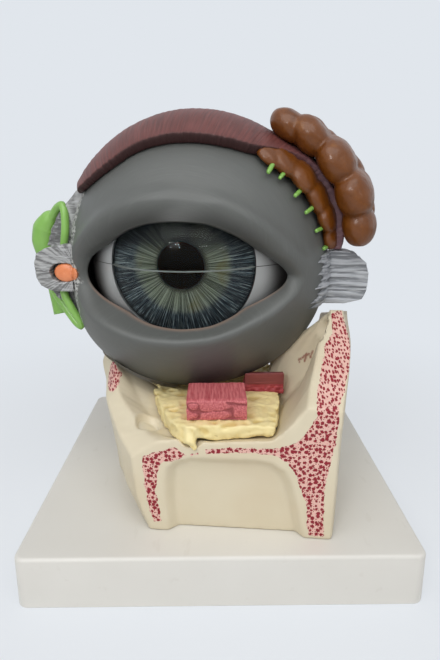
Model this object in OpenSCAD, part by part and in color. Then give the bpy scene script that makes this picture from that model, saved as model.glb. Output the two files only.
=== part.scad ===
// Take-apart model of an eye in its bony orbit, five times life size.
// Origin: centre of the underside of the base. +X right, +Y back, +Z up.
// The eye and its lids have a frame of their own: centre of the eyeball,
// looking along -y, turned about Z by eye_turn.

/* [Base] */
// Width and depth of the base
base_w = 180; // [170:1:210]
// Height of the base
base_h = 25; // [20:1:35]
// Radius of the base's upright corners
base_corner = 5; // [4:0.5:12]
// Wall of the hollow base
base_wall = 3; // [2:0.1:5]
// Diameter of the fixing screws' shanks
screw_d = 4; // [3:0.1:5]
// Diameter of the fixing screws' heads
screw_head_d = 7.5; // [6.5:0.1:9]

/* [Eyeball] */
// Outer radius of the eyeball
ball_r = 60; // [57:0.5:61]
// Height of the eyeball's underside above the bone's front ledge
ball_over = 11; // [9:0.5:15]
// Sideways place of the eyeball's centre
eye_x = -10.5; // [-13:0.5:-8]
// Place of the eyeball's centre from front to back
eye_y = 17.5; // [15:0.5:22]
// Turn of the eyeball and lids about the upright axis
eye_turn = -8; // [-12:1:-4]
// Thickness of the white outer coat
sclera_t = 3.5; // [3:0.1:4.5]
// Thickness of the dark middle coat
choroid_t = 2.4; // [2:0.1:3]
// Thickness of the retina
retina_t = 0.8; // [0.6:0.1:1.2]
// Radius of the clear front window at its rim
limbus_r = 34.8; // [33:0.1:36]
// Radius of curvature of the clear front window
cornea_r = 40.6; // [40:0.1:43]
// Thickness of the clear front window
cornea_t = 2.2; // [1.8:0.1:3]
// Radius of the pupil
pupil_r = 11; // [9:0.1:13]
// Thickness of the iris
iris_t = 2.2; // [1.8:0.1:3]
// Radius of the lens
lens_r = 22.5; // [21:0.1:23.2]
// Radius of curvature of the lens's front
lens_front_r = 50; // [48:0.5:60]
// Radius of curvature of the lens's back
lens_back_r = 30; // [28:0.5:34]
// Diameter of the optic nerve
nerve_d = 22; // [18:0.5:26]
// Length of the optic nerve behind the eyeball
nerve_l = 17; // [12:0.5:22]
// Width of each straight eye muscle
rectus_w = 34; // [28:1:38]
// Thickness of each straight eye muscle
rectus_t = 3.4; // [2.6:0.1:4]

/* [Lids] */
// Height of the eyelids' outside over the eyeball
lid_over = 10.5; // [10:0.1:11.5]
// Extra fullness of the lower lid towards the nose
lid_full = 6; // [4:0.1:6.4]
// Clearance of the lids from the clear window
lid_gap = 0.8; // [0.5:0.1:1.2]
// Thickness of the lid-raising muscle
levator_t = 3.6; // [3:0.1:4.2]
// Length of the lid-raising muscle behind the eyeball's centre
levator_back = 24; // [18:0.5:28]
// Thickness of the green ducts of the tear gland
duct_d = 2; // [1.5:0.1:2.6]

/* [Orbit] */
// Turn of the bone block about the upright axis
bone_turn = -6; // [-8:0.5:-4]
// Distance of the sawn front face before the base's centre
bone_front = 73.3; // [72:0.1:75]
// Height of the front ledge above the table
ledge_h = 71; // [69:0.5:73]
// Clearance of the bone from the lids
bone_gap = 1.2; // [0.8:0.1:1.6]
// Depth of the sinus recess in the front face
sinus_depth = 5; // [3:0.5:8]
// Height of the fat cushion over the ledge
fat_t = 6.5; // [4:0.5:7]
// Height of the front muscle block over the fat
block_t = 9.5; // [6:0.5:10]

/* [Clearances] */
// Gap between shells that nest in each other
nest_gap = 0.4; // [0.3:0.05:0.5]
// Gap round a pin in its socket
pin_gap = 0.1; // [0.05:0.01:0.2]
// Gap between pieces that rest on each other
rest_gap = 0.3; // [0.2:0.05:0.4]

/* [Hidden] */
$fn = 64;

eps = 0.01;
big = 200;
eye_h = ledge_h + ball_over + ball_r;

// Lids, and how much they differ from those that their small pieces are drawn for
lid_r = ball_r + lid_over;
drawn_lid_r = 70.5;
lid_k = lid_r / drawn_lid_r;

// Base
cover_t = base_wall;
boss_d = screw_d + 2 * base_wall;
cover_screw_at = base_w / 2 - base_corner - base_wall - 4;
head_t = 2.4;
cover_screw_l = 12;

// Shells of the eyeball, from the outside in
choroid_r = ball_r - sclera_t - nest_gap;
retina_r = choroid_r - choroid_t - nest_gap / 2;
vitreous_r = retina_r - retina_t - nest_gap;
limbus_y = -sqrt(pow(ball_r, 2) - pow(limbus_r, 2));
cornea_y = limbus_y + sqrt(pow(cornea_r, 2) - pow(limbus_r, 2));
cornea_back = limbus_y + 1.4;
iris_r = limbus_r - nest_gap / 2;
iris_rim_y = cornea_back + nest_gap;
iris_dome = 4.6;
pupil_x = -1.5;
ciliary_front = iris_rim_y + iris_t + nest_gap / 2;
lens_band = 2;
lens_back_sag = lens_back_r - sqrt(pow(lens_back_r, 2) - pow(lens_r, 2));
lens_depth = 15.88;
lens_y = limbus_y + lens_depth;
vitreous_front = lens_y + rest_gap;
ciliary_back = vitreous_front - rest_gap;
ciliary_inner = lens_r + 1.6;
retina_front = vitreous_front + 2;
pin_r = 1;
pin_l = 3;
pin_at = ball_r - sclera_t / 2;

// Directions on the eyeball: t is the angle from the line of sight,
// p the clock angle, 0 up and 90 to the right.
function dir(t, p) = [sin(t) * sin(p), -cos(t), sin(t) * cos(p)];
function at(r, t, p) = r * dir(t, p);
function mix(a, b, f) = a + (b - a) * f;
function smooth(f) = f * f * (3 - 2 * f);
function clamp01(f) = max(0, min(1, f));

// Skin over rings of points; every ring has as many points as the first.
// closed: the last ring joins the first. Otherwise both ends get a cap.
module skin(rings, closed = false) {
  n = len(rings);
  m = len(rings[0]);
  pts = [for (r = rings) each r];
  sides = [for (i = [0 : n - (closed ? 1 : 2)], j = [0 : m - 1])
    let (a = i * m + j, b = i * m + (j + 1) % m,
      c = ((i + 1) % n) * m + (j + 1) % m, d = ((i + 1) % n) * m + j)
    each [[a, b, c], [a, c, d]]];
  caps = closed ? [] : [
    [for (j = [m - 1 : -1 : 0]) j],
    [for (j = [0 : m - 1]) (n - 1) * m + j]];
  polyhedron(points = pts, faces = concat(sides, caps), convexity = 10);
}

// Rounded tube along points, with a radius for each
function unit(v) = v / norm(v);
function tube_rings(path, radii, n = 12, flat = 1) = [for (i = [0 : len(path) - 1])
  let (t = unit(path[min(i + 1, len(path) - 1)] - path[max(i - 1, 0)]),
    s = unit(cross(t, [0.2, -1, 0.1])), u = cross(s, t))
  [for (j = [0 : n - 1]) path[i]
    + radii[i] * (cos(360 * j / n) * s + flat * sin(360 * j / n) * u)]];

module in_eye() translate([eye_x, eye_y, eye_h]) rotate([0, 0, eye_turn]) children();
module in_bone() rotate([0, 0, bone_turn]) children();
// Turns a shape drawn about +Z so that its axis is the line of sight
module sight() rotate([90, 0, 0]) children();
module upper_half() intersection() {
  children();
  translate([-big, -big, 0]) cube([2 * big, 2 * big, big]);
}
module lower_half() intersection() {
  children();
  translate([-big, -big, -big]) cube([2 * big, 2 * big, big]);
}

// ---- Base ----

module rounded_plan(w, r) {
  square([w, w - 2 * r], center = true);
  square([w - 2 * r, w], center = true);
  for (x = [-1, 1], y = [-1, 1]) translate([x, y] * (w / 2 - r)) circle(r);
}

bone_screws_at = [[-14, -36], [44, -36], [12, 30]];

module base_plate() color("white") difference() {
  linear_extrude(base_h) rounded_plan(base_w, base_corner);
  difference() {
    translate([0, 0, -eps]) linear_extrude(base_h - base_wall)
      rounded_plan(base_w - 2 * base_wall, base_corner - base_wall);
    for (x = [-1, 1], y = [-1, 1]) translate([x * cover_screw_at, y * cover_screw_at, cover_t + rest_gap])
      cylinder(d = boss_d, h = base_h);
    in_bone() for (p = bone_screws_at) translate([p[0], p[1], base_h - base_wall - 3])
      cylinder(d = screw_head_d + 2 * base_wall, h = base_h);
  }
  for (x = [-1, 1], y = [-1, 1]) translate([x * cover_screw_at, y * cover_screw_at, 0])
    cylinder(r = screw_d / 2 + pin_gap, h = cover_screw_l + 2);
  in_bone() for (p = bone_screws_at) translate([p[0], p[1], 0])
    cylinder(r = screw_d / 2 + pin_gap, h = base_h + 1);
}

module base_cover() color("whitesmoke") difference() {
  linear_extrude(cover_t)
    rounded_plan(base_w - 2 * base_wall - 2 * rest_gap, base_corner - base_wall - rest_gap);
  for (x = [-1, 1], y = [-1, 1]) translate([x * cover_screw_at, y * cover_screw_at, -eps]) {
    cylinder(r = screw_d / 2 + pin_gap, h = cover_t + 1);
    cylinder(r = screw_head_d / 2 + pin_gap, h = head_t + pin_gap);
  }
}

// A screw with its head at z = 0 and its shank upwards
module screw(l, recess = 0.4) {
  difference() {
    cylinder(d = screw_head_d, h = head_t - recess);
    translate([0, 0, -eps]) cylinder(d = screw_d * 0.6, h = 1.4);
  }
  translate([0, 0, head_t - recess - eps]) cylinder(d = screw_d, h = l);
}

module cover_screws() color("silver")
  for (x = [-1, 1], y = [-1, 1])
    translate([x * cover_screw_at, y * cover_screw_at, 0.4]) screw(cover_screw_l - head_t);

bone_screw_seat = base_h - base_wall - 3;
module bone_screws() color("silver") in_bone()
  for (p = bone_screws_at)
    translate([p[0], p[1], bone_screw_seat - head_t + 0.4]) screw(18);

// ---- Bone ----

// Sections of the bone block from front to back, each [v, [[u, z], ...]] in the
// block's own frame, from the outer left foot over the floor to the right foot.
// They are drawn for a ledge at ledge = 46 over the foot, and stretched to its height.
foot = base_h;
bone_bore_l = 14;
ledge = 46;
bone_k = (ledge_h - foot) / ledge;
bone_drawn = [
  [-bone_front, [[-25, 0], [-30.4, 16], [-32.4, 37], [-20.5, ledge - 0.8], [-10, ledge + 1],
    [4, ledge], [30, ledge + 2], [38, 55], [44.5, 63.6], [59.3, 63], [58.5, 41], [57.5, 0]]],
  [-62, [[-31.5, 0], [-38.5, 17], [-41, 43], [-30, ledge], [-18, ledge - 4],
    [4, ledge - 4], [31, ledge - 1], [39, 57], [46, 70], [62, 71], [61, 41], [60, 0]]],
  [-40, [[-41, 0], [-48.5, 21], [-53, 50], [-47, 55], [-34, 47],
    [-6, ledge - 6], [31, ledge - 5], [43, 59], [51, 82], [66.5, 84], [64, 43], [62.5, 0]]],
  [-30, [[-47.5, 0], [-52.8, 23], [-56, 53], [-50, 64], [-42, 55],
    [-8, ledge - 8], [31, ledge - 8], [46, 61], [54, 88], [68, 90], [66, 43], [64, 0]]],
  [-20, [[-54, 0], [-56.5, 25], [-59, 55], [-55, 65], [-45, 57],
    [-10, ledge - 11], [31, ledge - 11], [50, 63], [58, 94], [69, 94], [68, 43], [66, 0]]],
  [-8, [[-56, 0], [-59, 25], [-64, 59], [-61, 67], [-50, 59],
    [-12, ledge - 15], [31, ledge - 15], [53, 63], [66, 86], [75, 86], [71, 43], [68, 0]]],
  [22, [[-52, 0], [-60, 25], [-72, 59], [-68, 67], [-50, 53],
    [-12, ledge - 15], [31, ledge - 15], [54, 59], [74, 84], [81, 84], [73, 43], [68, 0]]],
  [52, [[-36, 0], [-48, 25], [-60, 55], [-57, 63], [-44, 51],
    [-10, ledge - 12], [28, ledge - 12], [44, 53], [64, 75], [71, 75], [63, 41], [58, 0]]],
];
bone_sections = [for (s = bone_drawn) [s[0], [for (q = s[1]) [q[0], foot + bone_k * q[1]]]]];

module orbital_bone() color("wheat") difference() {
  in_bone() skin([for (s = bone_sections) [for (q = s[1]) [q[0], s[0], q[1]]]]);
  in_eye() sphere(lid_r + lid_full + bone_gap);
  in_bone() sinus();
  in_bone() for (p = bone_screws_at) translate([p[0], p[1], foot - eps])
    cylinder(r = screw_d / 2 + pin_gap, h = bone_bore_l);
}

// Recess that stands for the cut-open sinus: an arch with a slanted right side
sinus_top = foot + bone_k * 38.6;
sinus_corner = 9;
sinus_x0 = -18.8;
sinus_x1 = 39;
sinus_foot_x1 = 47;
function arc(c, r, a0, a1, n = 6) = [for (i = [0 : n])
  let (a = mix(a0, a1, i / n)) c + r * [cos(a), sin(a)]];
module sinus() translate([0, -bone_front + sinus_depth, 0]) rotate([90, 0, 0])
  linear_extrude(sinus_depth + 5) polygon(concat(
    [[sinus_foot_x1, foot - 1], [sinus_foot_x1 - 2, foot + 6]],
    arc([sinus_x1 - sinus_corner, sinus_top - sinus_corner], sinus_corner, 0, 90),
    arc([sinus_x0 + sinus_corner, sinus_top - sinus_corner], sinus_corner, 90, 180),
    [[sinus_x0, foot - 1]]));

// Height over which nothing may stand before the lids: they leave forwards and upwards
pull_up = 30;
lid_low_t = 60;
module lid_sweep(r) in_eye() rotate([90 - pull_up, 0, 0]) translate([0, 0, -20]) cylinder(r = r, h = big);
module lid_way() in_eye() {
  sphere(lid_r + lid_full + bone_gap);
  rim = at(lid_r + lid_full * 0.8 + 2 * bone_gap, lid_low_t, 180);
  translate(rim) rotate([-pull_up, 0, 0]) translate([-big / 2, -big, 0]) cube([big, big, big]);
}

// ---- Soft parts on the bone ----

fat_plan = [[-34, -28], [-30, -44], [-25, -58], [-20, -67], [-12, -72.4], [-8, -70], [6, -69.6],
  [24.5, -71.4], [28, -52], [30.5, -32], [31, 20], [-36, 20], [-36, -12]];
fat_top = ledge_h + fat_t;
block_x0 = -15;
block_x1 = 12;
block_front = -64.5;
// Cup of fat behind the lids, which carries the eyeball
cup_x = 27;
cup_y = [-12, 40];
cup_z = -44;

module fat_cup() in_eye() difference() {
  translate([-cup_x, cup_y[0], -eye_h + ledge_h - 14])
    cube([2 * cup_x, cup_y[1] - cup_y[0], eye_h + cup_z - ledge_h + 14]);
  sphere(ball_r + rest_gap);
  intersection() {
    sphere(ball_r + rectus_t + 2 * rest_gap);
    translate([-rectus_w / 2 - 1.5, 2, -big]) cube([rectus_w + 3, big, big]);
  }
}

module orbital_fat() color("khaki") difference() {
  union() {
    difference() {
      translate([0, 0, ledge_h - 17]) linear_extrude(17 + fat_t) polygon(fat_plan);
      lid_way();
    }
    fat_cup();
  }
  in_bone() difference() {
    translate([-big, -big, -big]) cube(2 * big);
    fat_cavity();
  }
  muscle_block_shape(rest_gap);
  muscle_strip_shape(rest_gap);
}

// Space over the orbital floor, as wide as the fat
module fat_cavity() skin([for (s = bone_sections)
  let (c = s[1]) [[c[3][0] + 4, s[0], c[3][1] + 30], [c[4][0] + 2, s[0], c[4][1] + rest_gap + 1],
    [c[5][0], s[0], c[5][1] + rest_gap], [c[6][0], s[0], c[6][1] + rest_gap],
    [c[7][0] - 2, s[0], c[7][1] + rest_gap], [c[8][0] - 8, s[0], c[8][1] + 20]]]);

block_top = fat_top + block_t;
module muscle_block_shape(gap) translate([block_x0 - gap, 0, 0]) rotate([90, 0, 90])
  linear_extrude(block_x1 - block_x0 + 2 * gap)
    polygon([[block_front - gap, fat_top], [block_front - gap, block_top - 0.6 + gap],
      [block_front + 2, block_top + gap], [-43, block_top + gap], [-31, block_top - 7 + gap],
      [-20, block_top - 13 + gap], [-13 + gap, block_top - 16 + gap], [-13 + gap, fat_top - 12 - gap],
      [-31, fat_top - 7 - gap], [-46, fat_top]]);

module inferior_muscle_block() color("indianred") muscle_block_shape(0);

strip_x0 = block_x1 + 1;
strip_x1 = 33;
strip_front = -29;
module muscle_strip_shape(gap) translate([strip_x0 - gap / 2, 0, 0]) rotate([90, 0, 90])
  linear_extrude(strip_x1 - strip_x0 + gap)
    polygon([[strip_front - gap, fat_top - 2 - gap], [strip_front - gap, fat_top + 9 + gap],
      [strip_front + 4, fat_top + 8.4 + gap], [-17, fat_top + 2 + gap], [-13 + gap, fat_top - 1 + gap],
      [-13 + gap, fat_top - 9 - gap]]);

module lateral_muscle_strip() color("firebrick") difference() {
  muscle_strip_shape(0);
  lid_sweep(lid_r + lid_full * 0.8 + rest_gap);
}

// ---- Eyeball ----

module sclera_shell() difference() {
  sphere(ball_r);
  sphere(ball_r - sclera_t);
  sight() translate([0, 0, 20]) cylinder(r = limbus_r + nest_gap / 2, h = big);
}

module sclera_lower() color("whitesmoke") in_eye() difference() {
  lower_half() sclera_shell();
  for (x = [-1, 1]) translate([x * pin_at, 0, -pin_l]) cylinder(r = pin_r, h = pin_l + 1);
}

module sclera_upper() color("whitesmoke") in_eye() difference() {
  translate([0, 0, eps]) upper_half() sclera_shell();
  for (x = [-1, 1]) translate([x * pin_at, 0, -1]) cylinder(r = pin_r + pin_gap, h = pin_l + 1.3);
}

module seam_pins() color("silver") in_eye() for (x = [-1, 1])
  translate([x * pin_at, 0, -pin_l]) cylinder(r = pin_r, h = 2 * pin_l);

module cornea_shell() difference() {
  intersection() {
    translate([0, cornea_y, 0]) sphere(cornea_r);
    sight() translate([0, 0, -cornea_back]) cylinder(r = limbus_r, h = big);
  }
  translate([0, cornea_y, 0]) sphere(cornea_r - cornea_t);
}

module cornea_lower() color([0.85, 0.9, 0.95, 0.4]) in_eye() lower_half() cornea_shell();
module cornea_upper() color([0.85, 0.9, 0.95, 0.4]) in_eye()
  translate([0, 0, eps]) upper_half() cornea_shell();

module ball_shell(r, t, front) difference() {
  sphere(r);
  sphere(r - t);
  translate([-big, front - 2 * big, -big]) cube(2 * big);
}

module choroid_lower() color("saddlebrown") in_eye() lower_half()
  ball_shell(choroid_r, choroid_t, ciliary_front);
module choroid_upper() color("saddlebrown") in_eye()
  translate([0, 0, eps]) upper_half() ball_shell(choroid_r, choroid_t, ciliary_front);
module retina_lower() color("orange") in_eye() lower_half()
  ball_shell(retina_r, retina_t, retina_front);
module retina_upper() color("orange") in_eye()
  translate([0, 0, eps]) upper_half() ball_shell(retina_r, retina_t, retina_front);

// The iris is a shallow dome with the pupil a little towards the nose
module iris_disc() difference() {
  sight() translate([0, 0, -iris_rim_y - iris_t]) rotate_extrude()
    polygon([[0, 0], [iris_r, 0], [iris_r, iris_t], [pupil_r, iris_t + iris_dome],
      [0, iris_t + iris_dome]]);
  sight() translate([0, 0, -iris_rim_y - iris_t - 1]) rotate_extrude()
    polygon([[0, 0], [iris_r - 2, 1], [pupil_r, iris_dome + 1], [0, iris_dome + 1]]);
  sight() translate([pupil_x, 0, 20]) cylinder(r = pupil_r, h = 60);
}

module iris_lower() color("slategray") in_eye() lower_half() iris_disc();
module iris_upper() color("slategray") in_eye() translate([0, 0, eps]) upper_half() iris_disc();

module ciliary_ring() difference() {
  sphere(choroid_r - choroid_t - eps);
  translate([-big, ciliary_front - 2 * big, -big]) cube(2 * big);
  translate([-big, ciliary_back, -big]) cube(2 * big);
  sight() cylinder(r = ciliary_inner, h = big);
}

module ciliary_ring_lower() color("maroon") in_eye() lower_half() ciliary_ring();
module ciliary_ring_upper() color("maroon") in_eye()
  translate([0, 0, eps]) upper_half() ciliary_ring();

lens_front_c = -lens_y + lens_band - sqrt(pow(lens_front_r, 2) - pow(lens_r, 2));
lens_back_c = -lens_y - lens_back_sag + lens_back_r;

// Drawn as half an outline about the line of sight
module turned() sight() rotate_extrude($fn = 120) intersection() {
  translate([0, -big]) square([big, 2 * big]);
  children();
}

module lens() color([0.9, 0.95, 0.9, 0.6]) in_eye() turned() intersection() {
  translate([0, lens_front_c]) circle(lens_front_r, $fn = 360);
  translate([0, lens_back_c]) circle(lens_back_r, $fn = 360);
  translate([-lens_r, -big]) square([2 * lens_r, 2 * big]);
}

module vitreous_body() color([0.8, 0.9, 0.95, 0.4]) in_eye() turned() difference() {
  circle(vitreous_r, $fn = 180);
  translate([-big, -vitreous_front]) square(2 * big);
  translate([0, lens_back_c]) circle(lens_back_r + rest_gap, $fn = 180);
}

// The nerve leaves the back of the ball towards the nose
nerve_turn = -14;
module optic_nerve() color("lemonchiffon") in_eye() difference() {
  rotate([0, 0, -nerve_turn]) rotate([-90, 0, 0]) cylinder(d = nerve_d, h = ball_r + nerve_l);
  sphere(ball_r + eps);
  cylinder(r = ball_r + rest_gap, h = big);
}

// Inner distance from the upright axis, at height z: on the ball below the seam,
// and clear of the upper half's way up above it
function side_r(z) = z > 0 ? ball_r + rest_gap : sqrt(pow(ball_r + rest_gap, 2) - z * z);
rectus_n = 8;
rectus_k = 6;
rectus_t0 = 92;
rectus_t1 = 140;
function rectus_h(i) = mix(1, rectus_t, smooth(i / rectus_n));
function round_off(k) = abs(k) == rectus_k / 2 ? 0.5 : 1;

// A muscle on the side of the ball, as a band at constant height
function side_band() = [for (i = [0 : rectus_n])
  let (t = mix(rectus_t0, rectus_t1, i / rectus_n), d = [sin(t), -cos(t)],
    w = rectus_w * mix(1, 0.8, i / rectus_n))
  [for (k = [-rectus_k / 2 : rectus_k / 2]) let (z = w * k / rectus_k, r = side_r(z))
      [r * d[0], r * d[1], z],
    for (k = [rectus_k / 2 : -1 : -rectus_k / 2])
      let (z = w * k / rectus_k, r = side_r(z) + rectus_h(i) * round_off(k)) [r * d[0], r * d[1], z]]];

// A muscle over or under the ball, as a band about clock angle p0; each ring is flat
function on_ring(r, y, p) = let (q = sqrt(r * r - y * y)) [q * sin(p), y, q * cos(p)];
function pole_band(p0, t0) = [for (i = [0 : rectus_n])
  let (t = mix(t0, rectus_t1, i / rectus_n), w = rectus_w * mix(1, 0.8, i / rectus_n),
    r = ball_r + rest_gap, y = -r * cos(t), dp = w / rectus_k / r / sin(t) * 180 / PI)
  [for (k = [-rectus_k / 2 : rectus_k / 2]) on_ring(r, y, p0 - k * dp),
    for (k = [rectus_k / 2 : -1 : -rectus_k / 2])
      on_ring(r + rectus_h(i) * round_off(k), y, p0 - k * dp)]];

module medial_rectus() color("indianred") in_eye() mirror([1, 0, 0]) skin(side_band());
module lateral_rectus() color("indianred") in_eye() skin(side_band());
module inferior_rectus() color("indianred") in_eye() skin(pole_band(180, 97));
module superior_rectus() color("indianred") in_eye() skin(pole_band(0, 97));

// Thin tendon that crosses the top from the nose side
oblique_r = 3;
module superior_oblique() color("lightcoral") in_eye()
  skin([for (i = [0 : 8])
    let (p = mix(-62, -20, i / 8), t = mix(98, 102, i / 8), h = mix(oblique_r, 1.4, i / 8))
    [for (k = [-3 : 3]) at(ball_r + rest_gap, t + k * 1.6, p),
      for (k = [3 : -1 : -3]) at(ball_r + rest_gap + h * (1 - k * k / 14), t + k * 1.6, p)]]);

// ---- Eyelids ----

// Angle of the lids' free edge from the line of sight, by clock angle
lid_edge = [[-180, 25.5], [-160, 26.5], [-141, 30], [-125, 35], [-113, 40], [-104, 46], [-97, 49],
  [-88, 47.5], [-82, 43], [-68, 33.5], [-46, 24.5], [-21, 20.5], [10, 19.5], [33, 22], [61, 30],
  [73, 35.5], [83, 42], [90, 48.5], [95, 52.5], [100, 51], [108, 44.5], [120, 37.5], [134, 31.5],
  [150, 28], [165, 26], [180, 25.5]];
// Angle of the lids' rim against the orbit
lid_rim = [[-180, 60], [-160, 61.5], [-145, 63.5], [-130, 65.5], [-95, 69], [-75, 73], [-50, 79], [-20, 83],
  [0, 84], [60, 84], [90, 83], [105, 80], [120, 75], [135, 69.5], [150, 65], [165, 61.5], [180, 60]];
// Fullness by clock angle, as a share of lid_full
lid_swell = [[-180, 0.85], [-150, 1], [-125, 0.95], [-105, 0.3], [-88, 0.05], [-60, 0], [80, 0],
  [100, 0.3], [125, 0.65], [150, 0.7], [180, 0.85]];

function lid_out(p) = lid_r + lid_full * lookup(p, lid_swell);
// Distance of the clear window's outside from the ball's centre
function window_r(t) = let (c = -cornea_y, b = c * cos(t))
  abs(t) > asin(limbus_r / ball_r) ? ball_r : b + sqrt(b * b - c * c + cornea_r * cornea_r);
lid_clear = 2.2;
function lid_in(t) = max(window_r(t) + lid_gap, ball_r + mix(0.35, lid_clear, clamp01((t - 48) / 10)));

lid_n = 72;
lid_clock = [for (i = [0 : lid_n - 1]) -180 + 360 * i / lid_n];
function lid_ring(p) = let (t0 = lookup(p, lid_edge), t1 = lookup(p, lid_rim),
    upper = clamp01((110 - abs(p)) / 60), roll = mix(4, 10, smooth(upper)),
    ri = lid_in(t0), ro = lid_out(p), lip = ri + 1.6)
  concat(
    [for (k = [0 : 5]) let (g = k / 5, a = 90 * g)
      at(mix(lip, ro, sin(a)), t0 + roll * (1 - cos(a)), p)],
    [for (k = [1 : 5]) let (g = k / 5) at(ro, mix(t0 + roll, t1 - 1.5, g), p)],
    [at(ro - 0.8, t1 - 0.4, p), at(ro - 2, t1, p)],
    [at(ball_r + lid_clear + 0.6, t1, p)],
    [for (k = [4 : -1 : 0]) let (t = mix(t0 + 0.6, t1 - 0.5, k / 5)) at(lid_in(t), t, p)],
    [at(ri + 0.5, t0, p)]);

module eyelid_shell() color("dimgray") in_eye()
  skin([for (p = lid_clock) lid_ring(p)], closed = true);

// Lid-raising muscle: a fan over the upper lid that runs straight back
levator_edge = [[-57, 62], [-50, 56.5], [-40, 53], [-20, 53], [10, 54], [22, 56], [33, 60], [42, 68],
  [52, 74.5], [62, 77], [88, 77]];
levator_lift = [[-57, 0.4], [-40, 0.3], [0, 0.3], [30, 0.3], [48, 2.4], [62, 5], [80, 4], [88, 2]];
lev_n = 30;
function lev_clock(i) = mix(-57, 86.2, i / lev_n);
lev_back_of = [[-57, 0], [-45, 0.1], [-22, 1], [40, 1], [62, 0.1], [88, 0]];
function lev_ring(p) = let (t0 = lookup(p, levator_edge), ri = lid_out(p) + lookup(p, levator_lift),
    th = levator_t * (p > 40 ? mix(1, 0.7, clamp01((p - 40) / 30)) : 1),
    back = levator_back * smooth(lookup(p, lev_back_of)),
    t1 = mix(t0 + 8, 89, smooth(clamp01(lookup(p, lev_back_of) * 3 + 0.5))),
    tail = [0, max(back, 1), 0])
  concat(
    [at(ri + th * 0.5, t0 - 0.7, p), at(ri + th * 0.9, t0 - 0.2, p)],
    [for (k = [0 : 5]) at(ri + th, mix(t0 + 0.6, t1, k / 5), p)],
    [at(ri + th, t1, p) + tail, at(ri, t1, p) + tail],
    [for (k = [5 : -1 : 0]) at(ri, mix(t0 + 0.4, t1, k / 5), p)]);

module levator_muscle() color("rosybrown") in_eye()
  skin([for (i = [0 : lev_n]) lev_ring(lev_clock(i))]);

// Tear gland: two rows of lobes, one over and one under the lid-raising muscle
// A lobed body along clock angle p0..p1: rings across it, swelling with each lobe
function lobe(f, count) = 0.86 + 0.14 * abs(sin(180 * count * f + 20));
module lobed(p0, p1, centre_t, centre_r, half_t, half_r, count, floor_r = 0, n = 30, m = 14) {
  skin([for (i = [0 : n])
    let (f = i / n, p = mix(p0, p1, f), s = sqrt(max(0.02, 1 - pow(abs(2 * f - 1), 5))) * lobe(f, count))
    [for (j = [0 : m - 1]) let (a = 360 * j / m)
      at(max(floor_r, lookup(p, centre_r) + s * lookup(p, half_r) * cos(a)),
        lookup(p, centre_t) + s * lookup(p, half_t) * sin(a), p)]]);
}

orbital_t = [[26, 83], [50, 84], [70, 83], [88, 82]];
orbital_half_t = [[26, 8], [40, 11], [55, 14], [72, 14], [88, 9]];
module lacrimal_gland_orbital() color("chocolate") in_eye() scale(lid_k)
  lobed(26.5, 86.8, orbital_t,
    [[26, 82.5], [36, 84], [50, 86.4], [66, 88.4], [78, 87.6], [88, 84]], orbital_half_t,
    [[26, 6.4], [36, 7.4], [50, 8.6], [66, 10], [78, 9], [88, 6]], 4);

palpebral_t = [[34, 57], [41, 62], [50, 65.5], [61, 67.5], [72, 69], [86, 75]];
palpebral_half_t = [[34, 4], [41, 6], [50, 8.5], [61, 9], [72, 8.5], [86, 5]];
module lacrimal_gland_palpebral() color("peru") in_eye() palpebral_lobes();
module palpebral_lobes() lobed(34, 87, palpebral_t,
  [[34, lid_r + 1.4], [50, lid_r + 2], [87, lid_r + 2]], palpebral_half_t,
  [[34, 2.6], [50, 3.4], [70, 3.6], [87, 2.6]], 4, lid_r + rest_gap);

// Six short ducts that leave the gland's front edge and enter the lid
duct_clock = [42, 48, 58, 66, 76, 83];
module gland_ducts() color("lightgreen") in_eye() difference() {
  for (p = duct_clock) {
    t = lookup(p, palpebral_t) - lookup(p, palpebral_half_t) * 0.82;
    r = lid_out(p) + duct_d / 2;
    skin(tube_rings([at(r + 0.3, t - 1, p), at(r + 0.9, t - 3, p), at(r, t - 5, p)],
      [duct_d / 2, duct_d / 2, duct_d / 2.4], 8));
  }
  palpebral_lobes();
}

// Ligament at the outer corner: a ridged block on the lid
ligament_l = 23;
glue_gap = pin_gap + 0.05;
// The room that the lids take behind a piece glued to them, between two clock angles
module lid_wedge(p0, p1, gap) skin([for (p = [p0 : 5 : p1])
  concat([at(10, 50, p)], [for (k = [0 : 12]) at(lid_out(p) + gap, mix(50, 89.5, k / 12), p)],
    [at(10, 89.5, p)])]);
module lateral_ligament() color("lightgray") in_eye() difference() {
  scale(lid_k) translate([0, -2.5, 0]) rotate([90, 0, 0]) linear_extrude(13)
    polygon([[58, 2], [74, 4.2], [84, 3], [67 + ligament_l, -2.5], [68.5 + ligament_l, -8],
      [68 + ligament_l, -17], [66 + ligament_l, -21.5], [80, -24], [58, -24.5]]);
  lid_wedge(80, 120, glue_gap);
}

// Plate at the inner corner with the recess of the caruncle
plate_z0 = -16;
plate_z1 = 7.5;
module medial_plate() translate([0, -27, 0]) rotate([90, 0, 0]) linear_extrude(13)
  polygon([[-58, plate_z1 + 1], [-64, plate_z1 + 0.5], [-72, plate_z1 - 1], [-78, plate_z1 - 4],
    [-79.5, -2], [-79, -9], [-76.5, plate_z0 + 2.5], [-71, plate_z0], [-58, plate_z0]]);

caruncle_at = [-65.6, -6.2];
caruncle_half = [5.6, 4.7];
caruncle_t = 7.2;
module caruncle_oval(grow, y, h) scale(lid_k) translate([caruncle_at[0], y, caruncle_at[1]])
  rotate([90, 0, 0]) linear_extrude(h)
    polygon([for (i = [0 : 35]) [(caruncle_half[0] + grow) * cos(10 * i), (caruncle_half[1] + grow) * sin(10 * i)]]);

module medial_ligament() color("lightgray") in_eye() difference() {
  scale(lid_k) medial_plate();
  lid_wedge(-115, -70, glue_gap);
  hull() for (x = [0, 3]) translate([x, 0, 0]) caruncle_oval(0, -30, 12);
}

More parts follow.
